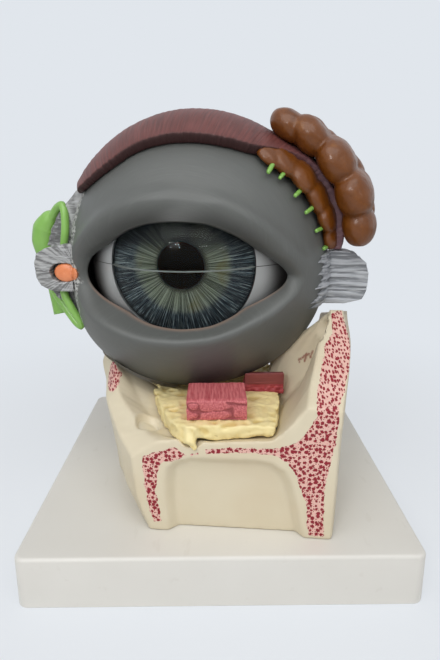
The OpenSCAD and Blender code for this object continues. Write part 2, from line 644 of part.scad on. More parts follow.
module caruncle() color("sandybrown") in_eye() difference() {
  caruncle_oval(-rest_gap / 2, -30 - rest_gap / 2, caruncle_t - rest_gap);
  lid_wedge(-115, -70, glue_gap + pin_gap);
}

// Tear sac behind the plate, and the duct down from it
sac_path = [[-73.5, -24, 25], [-77, -23, 22], [-80, -22, 16], [-80.8, -21.6, 9], [-79.5, -21.4, 1],
  [-78, -21.2, -7], [-76.6, -21, -14]];
sac_radii = [2.6, 4.6, 6.6, 7, 6.2, 5.4, 5];
sac_flat = 0.84;
module lacrimal_sac() color("yellowgreen") in_eye() scale(lid_k) difference() {
  skin(tube_rings(sac_path, sac_radii, 16, sac_flat));
  medial_plate();
}

module nasolacrimal_duct() color("yellowgreen") in_eye() scale(lid_k) difference() {
  skin(tube_rings([[-76.4, -21.1, -15], [-75.4, -21.6, -19], [-73.6, -22.4, -25], [-71.6, -23.2, -31]],
    [4.9, 4.6, 4.5, 4.7], 14, sac_flat));
  medial_plate();
}

canal_d = 3.4;
module upper_canaliculus() color("yellowgreen") in_eye() scale(lid_k) difference() {
  skin(tube_rings([[-74.2, -24, 25], [-72.4, -25.6, 27], [-69.4, -28, 28.2], [-66.5, -29.5, 26.2],
    [-65.6, -31.6, 20], [-65.6, -32.6, 13], [-66.2, -32.8, plate_z1 + 0.6]],
    [canal_d * 0.5, canal_d * 0.6, canal_d * 0.6, canal_d * 0.55, canal_d / 2, canal_d / 2,
      canal_d * 0.55], 10));
  sphere(drawn_lid_r + pin_gap);
  medial_plate();
  skin(tube_rings(sac_path, [for (r = sac_radii) r + pin_gap], 16, sac_flat));
}

module lower_canaliculus() color("yellowgreen") in_eye() difference() {
  scale(lid_k) skin(tube_rings([[-70.5, -33, plate_z0 - 0.5], [-69, -33.6, -21], [-66, -34, -28],
    [-61.5, -34, -36]],
    [canal_d * 0.62, canal_d * 0.6, canal_d * 0.6, canal_d * 0.62], 10));
  skin([for (p = [-140 : 4 : -90]) lid_ring(p)]);
}

base_plate();
base_cover();
cover_screws();
bone_screws();
orbital_bone();
orbital_fat();
inferior_muscle_block();
lateral_muscle_strip();
sclera_lower();
cornea_lower();
choroid_lower();
retina_lower();
iris_lower();
ciliary_ring_lower();
optic_nerve();
medial_rectus();
lateral_rectus();
inferior_rectus();
seam_pins();
sclera_upper();
cornea_upper();
superior_rectus();
superior_oblique();
choroid_upper();
retina_upper();
iris_upper();
ciliary_ring_upper();
lens();
vitreous_body();
eyelid_shell();
levator_muscle();
lacrimal_gland_orbital();
lacrimal_gland_palpebral();
gland_ducts();
lateral_ligament();
medial_ligament();
caruncle();
lacrimal_sac();
nasolacrimal_duct();
upper_canaliculus();
lower_canaliculus();
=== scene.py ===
"""Looks of a take-apart teaching model of an eye in its bony orbit, on a white base."""
import math

import bmesh
import bpy
import numpy as np
from mathutils import Matrix, Vector


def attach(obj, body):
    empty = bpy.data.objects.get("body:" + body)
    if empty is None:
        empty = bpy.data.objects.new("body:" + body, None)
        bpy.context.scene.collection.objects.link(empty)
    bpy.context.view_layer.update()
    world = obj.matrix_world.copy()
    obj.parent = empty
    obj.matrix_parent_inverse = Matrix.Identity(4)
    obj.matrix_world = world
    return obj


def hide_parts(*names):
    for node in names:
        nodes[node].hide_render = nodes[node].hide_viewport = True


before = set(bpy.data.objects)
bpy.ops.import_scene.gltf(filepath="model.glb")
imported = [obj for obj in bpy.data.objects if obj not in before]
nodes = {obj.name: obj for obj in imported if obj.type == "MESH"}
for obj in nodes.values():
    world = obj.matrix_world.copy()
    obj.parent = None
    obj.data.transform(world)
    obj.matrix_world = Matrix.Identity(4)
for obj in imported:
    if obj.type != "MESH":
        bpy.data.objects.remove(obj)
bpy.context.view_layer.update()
scene = bpy.context.scene

# ---- Camera and studio ----
# A short lens close to the front of the model, a little above it and pitched down.
# A pale floor and sky; one wide lamp overhead, a larger weak one in front, and four slim
# ones that the clear window mirrors.

camera_at = Vector((-0.00245, -0.2808, 0.1798))
pitch, yaw, roll = (math.radians(a) for a in (15.61, 0.65, -0.11))
ahead = Vector((math.sin(yaw) * math.cos(pitch), math.cos(yaw) * math.cos(pitch), -math.sin(pitch)))
level = Vector((math.cos(yaw), -math.sin(yaw), 0))
above = level.cross(ahead)
camera_right = level * math.cos(roll) + above * math.sin(roll)
camera_up = above * math.cos(roll) - level * math.sin(roll)

camera_data = bpy.data.cameras.new("camera")
camera_data.sensor_width = 36
camera_data.lens = 28.73
camera_data.clip_start = 0.01
camera = bpy.data.objects.new("camera", camera_data)
turn = Matrix((camera_right, camera_up, -ahead)).transposed()
camera.matrix_world = Matrix.Translation(camera_at) @ turn.to_4x4()
scene.collection.objects.link(camera)
scene.camera = camera
scene.view_settings.view_transform = "Standard"


def paint(*levels):
    """A colour given as it looks on a screen, 0 to 255."""
    return tuple(c / 12.92 if c <= 0.04045 else ((c + 0.055) / 1.055) ** 2.4
                 for c in (level / 255 for level in levels)) + (1.0,)


class Wire:
    """A socket of a node tree. Sums and products of wires add the Math nodes they stand for."""

    def __init__(self, tree, socket):
        self.tree, self.socket = tree, socket

    def node(self, kind, sockets, out=0, **settings):
        made = self.tree.nodes.new("ShaderNode" + kind)
        for name, value in settings.items():
            setattr(made, name, value)
        set_sockets(self.tree, made, sockets)
        return Wire(self.tree, made.outputs[out])

    def maths(self, operation, *others):
        return self.node("Math", dict(enumerate((self,) + others)), operation=operation)

    def vector(self, operation, *others, out=0):
        return self.node("VectorMath", dict(enumerate((self,) + others)), out, operation=operation)

    def axis(self, number):
        return self.node("SeparateXYZ", {0: self}, number)

    def mixed(self, first, second):
        """The first shader where this wire is 0, and the second where it is 1."""
        return self.node("MixShader", {0: self, 1: first, 2: second})

    def __add__(self, other):
        return self.maths("ADD", other)

    def __sub__(self, other):
        return self.maths("SUBTRACT", other)

    def __rsub__(self, other):
        return self.node("Math", {0: other, 1: self}, operation="SUBTRACT")

    def __mul__(self, other):
        return self.maths("MULTIPLY", other)

    __radd__ = __add__
    __rmul__ = __mul__


def set_sockets(tree, node, sockets):
    """Wires are linked to the node's sockets, and other values are held there."""
    for key, value in sockets.items():
        if isinstance(value, Wire):
            tree.links.new(value.socket, node.inputs[key])
        else:
            node.inputs[key].default_value = value


def fade(value, low, high):
    """0 below low and 1 above high, with a soft step between them; low may be the larger."""
    return value.node("MapRange", {"Value": value, "From Min": low, "From Max": high},
                      interpolation_type="SMOOTHSTEP")


def tinted(mask, a, b):
    return mask.node("Mix", {0: mask, 6: a, 7: b}, 2, data_type="RGBA")


def ramp(value, stops):
    """Colours by value, each with its place from 0 to 1."""
    made = value.node("ValToRGB", {0: value})
    points = made.socket.node.color_ramp.elements
    while len(points) < len(stops):
        points.new(1.0)
    for point, (place, colour) in zip(points, stops):
        point.position, point.color = place, colour
    return made


def noise(way, detail=2.0, rough=0.5, scale=1.0, out=0):
    return way.node("TexNoise", {"Vector": way, "Scale": scale, "Detail": detail, "Roughness": rough}, out)


def combined(x, y, z=0.0):
    return x.node("CombineXYZ", {0: x, 1: y, 2: z})


def grain(place, size, detail=2.0, stretch=(1, 1, 1), rough=0.5):
    """Noise with features of that size in metres, drawn out by stretch."""
    return noise(place.vector("MULTIPLY", tuple(1 / (size * s) for s in stretch)), detail, rough)


def mark(place, name):
    """A number that the mesh carries at each point."""
    return place.node("Attribute", {}, 2, attribute_name=name)


def relief(height, distance, strength=1.0):
    return height.node("Bump", {"Height": height, "Distance": distance, "Strength": strength})


def new_material(name):
    """A material, its node tree, and the object's own coordinates in it."""
    made = bpy.data.materials.new(name)
    made.use_nodes = True
    tree = made.node_tree
    return made, tree, Wire(tree, tree.nodes.new("ShaderNodeTexCoord").outputs["Object"])


def shader(tree, kind, sockets):
    made = tree.nodes.new("ShaderNode" + kind)
    set_sockets(tree, made, sockets)
    return Wire(tree, made.outputs[0])


def show(tree, surface, output="Material Output"):
    tree.links.new(surface.socket, tree.nodes[output].inputs["Surface"])


def finish(name, build, **fixed):
    """A material: build gets the object's own coordinates and says what varies over the surface."""
    made, tree, place = new_material(name)
    said = {key.replace("_", " "): value for key, value in fixed.items()}
    set_sockets(tree, tree.nodes["Principled BSDF"], {**said, **build(place)})
    return made


def streaked(size, detail, stretch, low, high, rough, more, bump=0.0):
    """Two colours that run into each other in one grain, which can be the relief too."""
    def build(place):
        tint = grain(place, size, detail, stretch)
        said = {"Base Color": tinted(tint, low, high), "Roughness": tint * more + rough}
        if bump:
            said["Normal"] = relief(tint, bump)
        return said
    return build


sky_colour = paint(225, 230, 236)
sky_light = 0.32


def set_world():
    """A pale sky for the camera, for mirrors and through clear pieces; a weaker neutral one as light."""
    world = bpy.data.worlds.new("studio")
    scene.world = world
    world.use_nodes = True
    tree = world.node_tree
    path = tree.nodes.new("ShaderNodeLightPath").outputs
    seen, passed, mirrored = (Wire(tree, path[f"Is {ray} Ray"]) for ray in ("Camera", "Transmission", "Glossy"))
    ambient = tree.nodes["Background"]
    set_sockets(tree, ambient, {"Color": (1, 1, 1, 1), "Strength": sky_light})
    backdrop = shader(tree, "Background", {"Color": sky_colour})
    shown = (seen + passed + mirrored).maths("MINIMUM", 1.0)
    show(tree, shown.mixed(Wire(tree, ambient.outputs[0]), backdrop), "World Output")


set_world()

floor_reach, shadow_near, shadow_far = 6.0, 0.14, 0.42
floor_mesh = bpy.data.meshes.new("floor")
floor_mesh.from_pydata([(x * floor_reach, y * floor_reach, 0) for x, y in ((-1, -1), (1, -1), (1, 1), (-1, 1))],
                       [], [(0, 1, 2, 3)])
floor = bpy.data.objects.new("floor", floor_mesh)
scene.collection.objects.link(floor)


def set_floor():
    """The floor shows the sky's colour to the camera and keeps the model's shadow near its foot."""
    made, tree, place = new_material("floor")
    ground = tree.nodes["Principled BSDF"]
    set_sockets(tree, ground, {"Base Color": paint(238, 240, 242), "Roughness": 0.9, "Specular IOR Level": 0.0})
    glow = shader(tree, "Emission", {"Color": sky_colour})
    plain = fade(place.vector("LENGTH", out=1), shadow_near, shadow_far) * 0.3 + 0.7
    seen = Wire(tree, tree.nodes.new("ShaderNodeLightPath").outputs["Is Camera Ray"])
    show(tree, (seen * plain).mixed(Wire(tree, ground.outputs[0]), glow))
    floor_mesh.materials.append(made)


set_floor()


def lamp(name, at, towards, size, power):
    data = bpy.data.lights.new(name, "AREA")
    data.shape = "RECTANGLE"
    data.size, data.size_y = size
    data.energy = power
    made = bpy.data.objects.new(name, data)
    made.location = at
    made.rotation_euler = (Vector(towards) - Vector(at)).to_track_quat("-Z", "Y").to_euler()
    scene.collection.objects.link(made)


# name, place, what it looks at, width and height, power in watts
lamp("overhead", (-0.05, -0.58, 1.1), (0, 0, 0.12), (1.5, 0.9), 9.4)
lamp("front", (0.2, -1.7, 0.9), (0, 0, 0.12), (2.8, 1.4), 1.6)
lamp("tube_high", (-0.392, -0.957, 0.696), (-0.02, -0.048, 0.154), (0.26, 0.034), 1.5)
lamp("tube_low", (-0.396, -1.011, 0.592), (-0.02, -0.048, 0.154), (0.26, 0.028), 1.15)
lamp("tube_side", (0.40, -0.96, 0.61), (-0.006, -0.048, 0.153), (0.34, 0.012), 0.13)
lamp("window_side", (0.854, -0.793, 0.547), (0.001, -0.046, 0.152), (0.22, 0.05), 0.18)

# ---- Base ----
# A hollow injection moulding in off-white plastic with softly rounded edges and a
# slight draft, closed below by a flat cover that four countersunk screws hold.


def add_marks(mesh, marks):
    """Numbers that each point of the mesh carries, by name."""
    for key, values in (marks or {}).items():
        layer = mesh.attributes.new(key, "FLOAT", "POINT")
        layer.data.foreach_set("value", np.asarray(values, np.float32).ravel())


def mesh_of(name, points, faces=None, marks=None):
    """A mesh from points in millimetres; without faces the points are rings that it is drawn over."""
    points = np.asarray(points, float)
    if faces is None:
        faces = ring_faces(*points.shape[:2])
    mesh = bpy.data.meshes.new(name)
    mesh.from_pydata([tuple(p) for p in points.reshape(-1, 3) / 1000.0], [], faces)
    mesh.update()
    mesh.shade_smooth()
    add_marks(mesh, marks)
    return mesh


def placed(name, mesh):
    made = bpy.data.objects.new(name, mesh)
    scene.collection.objects.link(made)
    return made


def mesh_piece(name, points, faces=None, marks=None):
    return placed(name, mesh_of(name, points, faces, marks))


def ring_faces(n, m, closed=False):
    """Faces over n rings of m points each, outwards when the rings turn left about their way."""
    i, j = np.meshgrid(np.arange(n if closed else n - 1), np.arange(m), indexing="ij")
    k, q = (i + 1) % n, (j + 1) % m
    faces = np.stack([i * m + j, i * m + q, k * m + q, k * m + j], axis=-1).reshape(-1, 4).tolist()
    if not closed:
        faces.append(list(range(m))[::-1])
        faces.append([(n - 1) * m + j for j in range(m)])
    return faces


def dress(piece, body, slot, material, *replaced):
    """Gives a piece its material, puts it on its body, and hides the solids it stands for. The slot is not
    used.
    """
    piece.data.materials.clear()
    piece.data.materials.append(material)
    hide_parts(*replaced)
    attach(piece, body)


def paint_node(name, material):
    """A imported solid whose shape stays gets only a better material."""
    made = nodes[name]
    made.data.materials.clear()
    made.data.materials.append(material)
    made.data.shade_smooth()


base_half, base_top, base_corner = 90.0, 25.0, 5.0
top_round, foot_round, base_draft = 1.8, 0.6, 0.2


def rounded_square(half, corner, z, steps=10):
    out = []
    for cx, cy, start in ((1, 1, 0), (-1, 1, 90), (-1, -1, 180), (1, -1, 270)):
        for k in range(steps + 1):
            a = math.radians(start + 90 * k / steps)
            out.append((cx * (half - corner) + corner * math.cos(a),
                        cy * (half - corner) + corner * math.sin(a), z))
    return out


def base_rings():
    rings = [rounded_square(base_half - 3.0, base_corner - 3.0, 21.9),
             rounded_square(base_half - 3.0, base_corner - 3.0, 0.0),
             rounded_square(base_half - foot_round, base_corner - foot_round, 0.0)]
    for k in range(1, 5):
        a = math.radians(90 * k / 4)
        inset = foot_round * (1 - math.sin(a))
        rings.append(rounded_square(base_half - inset, base_corner - inset, foot_round * (1 - math.cos(a))))
    for k in range(9):
        a = math.radians(90 * k / 8)
        inset = base_draft + top_round * (1 - math.cos(a))
        rings.append(rounded_square(base_half - inset, base_corner - inset * 0.8,
                                    base_top - top_round + top_round * math.sin(a)))
    for inset in (8, 30, 60, 80):
        rings.append(rounded_square(base_half - base_draft - inset, 3.0, base_top))
    return np.array(rings, float)


def base_finish(place):
    mottle = grain(place, 0.03, 3)
    skin = grain(place, 0.0006, 2)
    scuffs = fade(grain(place, 0.006, 4, (1, 3, 1)), 0.62, 0.72)
    colour = tinted(mottle, paint(214, 211, 204), paint(220, 218, 212))
    return {"Base Color": tinted(scuffs * 0.25, colour, paint(202, 198, 189)),
            "Roughness": 0.36 + scuffs * 0.12 + mottle * 0.05,
            "Normal": relief(skin, 0.00002, 0.4)}


base_white = finish("base_white", base_finish, Coat_Weight=0.15, Coat_Roughness=0.2)
base_piece = mesh_piece("base_moulding", base_rings())
edge = base_piece.modifiers.new("edges", "EDGE_SPLIT")
edge.split_angle = math.radians(50)
dress(base_piece, "root", "base_white", base_white, "base_plate")
paint_node("base_cover", base_white)
nodes["base_cover"].data.shade_flat()

screw_steel = finish("screw_steel", streaked(0.0012, 3, (1, 1, 0.2), paint(150, 150, 152), paint(196, 196, 198),
                                             0.3, 0.2), Metallic=1.0)
for name in ("cover_screws", "bone_screws", "seam_pins"):
    paint_node(name, screw_steel)
    nodes[name].data.shade_flat()

# ---- Bone of the orbit ----
# Cast in hard resin and hand-painted cream; the sawn faces show the sponge of the bone
# as dark red dots on pink. A shallow recess stands for the cut-open sinus. It is
# screwed down from below.


def value_noise(points, size, seed=0):
    """Smooth noise from -1 to 1 at points in millimetres."""
    q = np.asarray(points, float) / size + seed * 17.31
    cell = np.floor(q).astype(np.int64)
    f = q - cell
    f = f * f * (3 - 2 * f)
    total = np.zeros(len(q))
    for dx in (0, 1):
        for dy in (0, 1):
            for dz in (0, 1):
                h = (cell[:, 0] + dx) * 374761393 + (cell[:, 1] + dy) * 668265263
                h = (h + (cell[:, 2] + dz) * 1440662683) & 0xFFFFFFFF
                h = ((h ^ (h >> 13)) * 1274126177) & 0xFFFFFFFF
                h = ((h ^ (h >> 16)) & 0xFFFF) / 32767.5 - 1.0
                weight = (f[:, 0] if dx else 1 - f[:, 0]) * (f[:, 1] if dy else 1 - f[:, 1])
                total += h * weight * (f[:, 2] if dz else 1 - f[:, 2])
    return total


def soft_step(x, low, high):
    f = np.clip((np.asarray(x, float) - low) / (high - low), 0, 1)
    return f * f * (3 - 2 * f)


def recast(name, source, voxel, rounds):
    """A closed mesh drawn afresh over source, with cells of voxel millimetres and eased edges."""
    made = placed(name, source)
    remesh = made.modifiers.new("skin", "REMESH")
    remesh.mode = "VOXEL"
    remesh.voxel_size = voxel / 1000
    ease = made.modifiers.new("ease", "SMOOTH")
    ease.factor = 0.5
    ease.iterations = rounds
    bpy.context.view_layer.update()
    fresh = bpy.data.meshes.new_from_object(made.evaluated_get(bpy.context.evaluated_depsgraph_get()))
    made.modifiers.clear()
    fresh.name = name
    made.data = fresh
    fresh.shade_smooth()
    return made


def read_vectors(items, key):
    flat = np.empty(len(items) * 3, np.float32)
    items.foreach_get(key, flat)
    return flat.reshape(-1, 3).astype(float)


def points_of(piece):
    return read_vectors(piece.data.vertices, "co") * 1000


def normals_of(piece):
    return read_vectors(piece.data.vertex_normals, "vector")


def set_points(piece, points, marks=None):
    piece.data.vertices.foreach_set("co", (points / 1000).astype(np.float32).ravel())
    add_marks(piece.data, marks)
    piece.data.update()


bone_turn = math.radians(-6)
eye_at = np.array([-10.5, 17.5, 142.0])
eye_turn = math.radians(-8)
lid_r, lid_full, ball_r = 70.5, 6.0, 60.0


def turned(points, angle):
    c, s = math.cos(angle), math.sin(angle)
    x, y, z = (points[..., k] for k in range(3))
    return np.stack([x * c - y * s, x * s + y * c, z], axis=-1)


def smooth_rows(values, steps):
    """More rows between the given ones, on a smooth curve through them."""
    v = np.asarray(values, float)
    padded = np.concatenate([2 * v[:1] - v[1:2], v, 2 * v[-1:] - v[-2:-1]])
    out = []
    for i in range(len(v) - 1):
        a, b, c, d = padded[i:i + 4]
        for k in range(steps):
            f = k / steps
            bend = 0.5 * (2 * b + (c - a) * f + (2 * a - 5 * b + 4 * c - d) * f * f
                          + (3 * b - a - 3 * c + d) * f ** 3)
            out.append(bend * 0.6 + (b + (c - b) * f) * 0.4)
    out.append(v[-1])
    return np.array(out)


bone_sections = [
    (-73.3, [(-25, 25), (-30.4, 41), (-32.4, 62), (-20.5, 70.2), (-10, 72), (4, 71), (30, 73),
             (38, 80), (44.5, 88.6), (59.3, 88), (58.5, 66), (57.5, 25)]),
    (-62, [(-31.5, 25), (-38.5, 42), (-41, 68), (-30, 71), (-18, 67), (4, 67), (31, 70), (39, 82),
           (46, 95), (62, 96), (61, 66), (60, 25)]),
    (-40, [(-41, 25), (-48.5, 46), (-53, 75), (-47, 80), (-34, 72), (-6, 65), (31, 66), (43, 84),
           (51, 107), (66.5, 109), (64, 68), (62.5, 25)]),
    (-30, [(-47.5, 25), (-52.8, 48), (-56, 78), (-50, 89), (-42, 80), (-8, 63), (31, 63), (46, 86),
           (54, 113), (68, 115), (66, 68), (64, 25)]),
    (-20, [(-54, 25), (-56.5, 50), (-59, 80), (-55, 90), (-45, 82), (-10, 60), (31, 60), (50, 88),
           (58, 119), (69, 119), (68, 68), (66, 25)]),
    (-9, [(-56, 25), (-59, 50), (-64, 84), (-61, 92), (-50, 84), (-12, 56), (24, 58), (31, 94),
          (50, 107), (72, 112), (70, 68), (68, 25)]),
    (8, [(-54, 25), (-60, 50), (-68, 84), (-65, 92), (-50, 81), (-12, 56), (24, 58), (33, 87),
         (54, 103), (75, 109), (72, 68), (68, 25)]),
    (24, [(-52, 25), (-60, 50), (-72, 84), (-68, 92), (-50, 78), (-12, 56), (31, 56), (54, 84),
          (72, 107), (79, 108), (73, 68), (68, 25)]),
    (52, [(-36, 25), (-48, 50), (-60, 80), (-57, 88), (-44, 76), (-10, 59), (28, 59), (44, 78),
          (64, 100), (71, 100), (63, 66), (58, 25)]),
]


def bone_block():
    rows = np.array([[[u, v, z] for u, z in ring] for v, ring in bone_sections], float)
    first, rest = smooth_rows(rows[:2], 4), smooth_rows(rows[1:], 4)
    rows = np.concatenate([first[:-1], rest])[:, ::-1]
    return mesh_of("bone_block", turned(rows, bone_turn))


def outline_distance(points, outline):
    """How far inside the outline each point lies, in millimetres; less than 0 outside."""
    a = np.array(outline, float)
    b = np.roll(a, -1, axis=0)
    best = np.full(len(points), 1e9)
    inside = np.zeros(len(points), bool)
    for p, q in zip(a, b):
        d = q - p
        t = np.clip(((points - p) @ d) / (d @ d), 0, 1)
        best = np.minimum(best, np.linalg.norm(points - p - t[:, None] * d, axis=1))
        crosses = (p[1] > points[:, 1]) != (q[1] > points[:, 1])
        with np.errstate(divide="ignore", invalid="ignore"):
            x = p[0] + (points[:, 1] - p[1]) / (q[1] - p[1]) * d[0]
        inside ^= crosses & (points[:, 0] < x)
    return np.where(inside, best, -best)


sinus_outline = [(47, 20), (46.5, 27), (44.8, 33), (42.6, 44), (40.5, 52), (37, 59), (31, 63.2), (24, 64.4),
                 (-6, 64), (-13.6, 62), (-17.6, 57.5), (-18.8, 50), (-18.6, 40), (-17, 20)]
coarse_sponge = [
    [(47.1, 26.6), (45.9, 36), (45.5, 43.7), (42.8, 49.3), (40.6, 56.6), (36.9, 62.1), (31.5, 65.9),
     (21.5, 66.6), (9.9, 66), (1.0, 64.9), (1.0, 67.6), (8.2, 68.8), (19.8, 69.3), (30.6, 69.4),
     (38.7, 71.8), (44.1, 77.0), (48.2, 85.2), (48.4, 90.4), (57.6, 90.4), (57.8, 85.5), (57.4, 76.6),
     (56.2, 67.6), (54.6, 58.4), (53.4, 48.9), (54.1, 39.3), (54.4, 26.6)],
    [(-27.8, 63.1), (-18.1, 66.6), (-12.1, 68.1), (-8.1, 64.5), (-9.7, 61.9), (-18.7, 60.2),
     (-20.6, 54.4), (-21.6, 44.6), (-20.1, 36.7), (-19.1, 29.5), (-23.9, 29.0), (-25.1, 36.4),
     (-26.7, 44.3), (-27.4, 54.0)],
    [(-8.4, 63.4), (-2.2, 64.6), (-2.2, 65.8), (-8.4, 64.8)]]
fine_sponge = [[(48.4, 89.4), (48.4, 93), (50.2, 97), (52.2, 101.5), (53.6, 106.5), (57.4, 111), (59, 117),
                (68, 119), (67.6, 111), (66.4, 107), (64.8, 103.5), (62.6, 98.4), (60.2, 93.1), (57.8, 89.4)]]
nose_sponge = ((-51.5, -30, 84.5), (4.6, 30.0, 6.5))
dimple_at, dimple_half = (-28.2, -56.0), (6.0, 7.4)
notch_at, notch_half = (-5.5, -73.3, 71.5), (6.5, 8.0, 4.0)
vessel_path = [(43.9, 89.4), (43.6, 90.9), (44.9, 91.7), (46, 93), (47.3, 94.6), (47.1, 92.5), (46.4, 90.4),
               (47, 93), (48.3, 94.8), (49, 94.3), (49.1, 93), (50, 93.5), (49.9, 95.9), (50.7, 96.5),
               (51.1, 94.6), (51.7, 95.1), (51.5, 97.9)]
scoop_at, scoop_half = (55, -28, 109), (9, 13, 7)
sinus_depth, dimple_depth, notch_depth, scoop_depth = 4.6, 2.8, 3.2, 5.5
lids_clear, cup_deeper, no_sponge = 1.2, 9.5, -60.0


def share_of(p, at, half):
    """0 at the centre of a rounded region, 1 on its edge and more outside it."""
    return np.linalg.norm((p - at) / half, axis=1)


def kept_clear(world, least):
    """Points nearer than least to the middle of the eye are moved out to that distance."""
    away = world - eye_at
    return eye_at + away * np.maximum(1, least / np.linalg.norm(away, axis=1))[:, None]


def carve_bone(piece):
    p = turned(points_of(piece), -bone_turn)
    n = turned(normals_of(piece), -bone_turn)
    uz = p[:, [0, 2]]
    front = soft_step(-n[:, 1], 0.35, 0.75) * soft_step(-p[:, 1], 66, 70)
    skin = soft_step(-p[:, 1], 67.5, 72.6)
    p[:, 1] += sinus_depth * soft_step(outline_distance(uz, sinus_outline), 0.2, 6.0) * skin
    # the dimple in the ledge with its low rim, and the notch that the drip of fat fills
    flat = share_of(p[:, :2], dimple_at, dimple_half)
    ledge = (p[:, 2] > 60) * soft_step(n[:, 2], 0.2, 0.6)
    dimple = soft_step(-flat, -1.0, -0.72) * ledge
    p[:, 2] -= dimple_depth * dimple
    p[:, 2] += 0.3 * np.exp(-((flat - 1.12) / 0.1) ** 2) * ledge
    p[:, 2] -= notch_depth * soft_step(-share_of(p, notch_at, notch_half), -1, -0.3)
    # the outer wall's top is trimmed from outside and scooped from inside
    p[:, 0] -= (4.5 * soft_step(p[:, 2], 86, 112) * soft_step(p[:, 0], 57, 63) * soft_step(p[:, 1], -50, -22)
                + 2.2 * soft_step(p[:, 2], 80, 110) * soft_step(p[:, 0], 60, 66) * soft_step(p[:, 1], -10, 20))
    scooped = soft_step(-share_of(p, scoop_at, scoop_half), -1, -0.45)
    p[:, 0] += scoop_depth * scooped * soft_step(-n[:, 0], 0.2, 0.6)
    cast = 0.2 * value_noise(p, 14) + 0.06 * value_noise(p, 4, 3)
    p += n * (cast * (1 - 0.7 * front))[:, None]
    # where the sawn faces show sponge, and the fine vessels on the outer wall
    coarse, fine = (np.max([outline_distance(uz, o) for o in sponges], axis=0)
                    for sponges in (coarse_sponge, fine_sponge))
    facing = soft_step(-n[:, 1], 0.3, 0.5)
    upper = (soft_step(p[:, 2], 86, 89) * soft_step(-n[:, 1] + 0.35 * n[:, 2], 0.25, 0.45)
             * soft_step(n[:, 0], -0.3, -0.1))
    sawn = (-n[:, 1] + 0.4 * n[:, 2] > 0.2) & (p[:, 2] > 76) & (p[:, 1] < -16)
    patch = np.where(sawn, (1 - share_of(p, *nose_sponge)) * 5, no_sponge)
    drawn = smooth_rows(vessel_path, 8)
    near = np.min(np.linalg.norm(uz[:, None] - drawn[None], axis=2), axis=1)
    marks = {"vessel": soft_step(-near, -0.6, -0.25) * (np.abs(p[:, 1] + 3) < 16) * (n[:, 1] < 0),
             "coarse": np.where(facing * (p[:, 1] < -69.5) > 0.2, coarse, no_sponge),
             "fine": np.maximum(np.where(upper > 0.3, fine, no_sponge), patch),
             "dimple": dimple}
    clear = (lid_r + lid_full + lids_clear
             - cup_deeper * soft_step(p[:, 1], -18, -9) * soft_step(p[:, 0], 5, 15))
    set_points(piece, kept_clear(turned(p, bone_turn), clear), marks)


def sponge(place, size, fill, uneven):
    """Dark pores in the sawn bone, of uneven sizes and shapes: 1 in a pore and 0 between them."""
    bend = noise(place, 1.0, scale=1100.0, out=1).vector("SUBTRACT", (0.5, 0.5, 0.5))
    bent = bend.vector("MULTIPLY_ADD", (size * 0.55,) * 3, place)
    flat = combined(bent.axis(0), bent.axis(2))
    cells = flat.node("TexVoronoi", {"Vector": flat, "Scale": 1 / size, "Randomness": 0.75},
                      feature="F1", voronoi_dimensions="2D")
    chance = Wire(cells.tree, cells.socket.node.outputs["Color"])
    lottery = chance.node("SeparateColor", {0: chance})
    return fade(cells - (lottery * uneven + fill), 0.05, -0.05)


def bone_finish(place):
    coarse, fine, dimple, vessel = (mark(place, name) for name in ("coarse", "fine", "dimple", "vessel"))
    wobble = (grain(place, 0.003, 3) - 0.5) * 2.6
    in_coarse = fade(coarse + wobble, 0.15, 0.35)
    in_fine = fade(fine + wobble, 0.0, 0.25)
    pores = sponge(place, 0.0021, 0.27, 0.19).maths("MAXIMUM", sponge(place, 0.0011, 0.02, 0.3)) * in_coarse
    pores = pores.maths("MAXIMUM", sponge(place, 0.0013, 0.24, 0.22) * in_fine)
    tissue = in_coarse.maths("MAXIMUM", in_fine)
    mottle = grain(place, 0.02, 4)
    cream = tinted(mottle, paint(212, 200, 172), paint(222, 212, 188))
    warm = fade(grain(place, 0.045, 2), 0.45, 0.7)
    cream = tinted(warm * 0.3, cream, paint(206, 184, 150))
    # painted highlight: the dimple is paler, as well as glossier
    cream = tinted(dimple * 0.4, cream, paint(226, 220, 200))
    pink = tinted(grain(place, 0.0012, 2), paint(222, 158, 150), paint(230, 196, 182))
    red = tinted(grain(place, 0.0008, 1), paint(112, 8, 26), paint(160, 28, 48))
    cream = tinted(vessel * 0.8, cream, paint(132, 52, 40))
    colour = tinted(pores, tinted(tissue * 0.9, cream, pink), red)
    return {"Base Color": colour,
            "Roughness": 0.46 - dimple * 0.26 + pores * 0.1,
            "Normal": relief(grain(place, 0.0035, 4) * 0.6 - pores * 0.5, 0.0001)}


bone_paint = finish("bone", bone_finish, Specular_IOR_Level=0.4)
bone_piece = recast("bone_cast", bone_block(), 0.85, 5)
carve_bone(bone_piece)
dress(bone_piece, "root", "bone", bone_paint, "orbital_bone")

# ---- Fat of the orbit ----
# A wrinkled cushion in pale yellow that lies on the floor of the orbit, hangs over the
# ledge in one drip, and rises behind the lids into the cup that carries the eyeball.


def folds(p, size, seed, squash_z):
    """Ridges like wrinkles: thin valleys between soft rolls."""
    q = p * (1, 1, squash_z)
    bend = np.stack([value_noise(q, size * 1.7, seed + k) for k in (1, 2, 3)], axis=1) * size * 0.6
    return 1 - 2 * np.abs(value_noise(q + bend, size, seed)) + 0.22 * value_noise(q, size * 0.4, seed + 5)


def carve_fat(piece):
    p, n = points_of(piece), normals_of(piece)
    outside = soft_step(np.linalg.norm(p - eye_at, axis=1), 66.5, 69)
    drop = 0.75 * (folds(p, 5.2, 11, 1.5) - 0.85) + 0.25 * value_noise(p, 1.8, 19)
    set_points(piece, p + n * (drop * outside)[:, None], {"valley": drop})


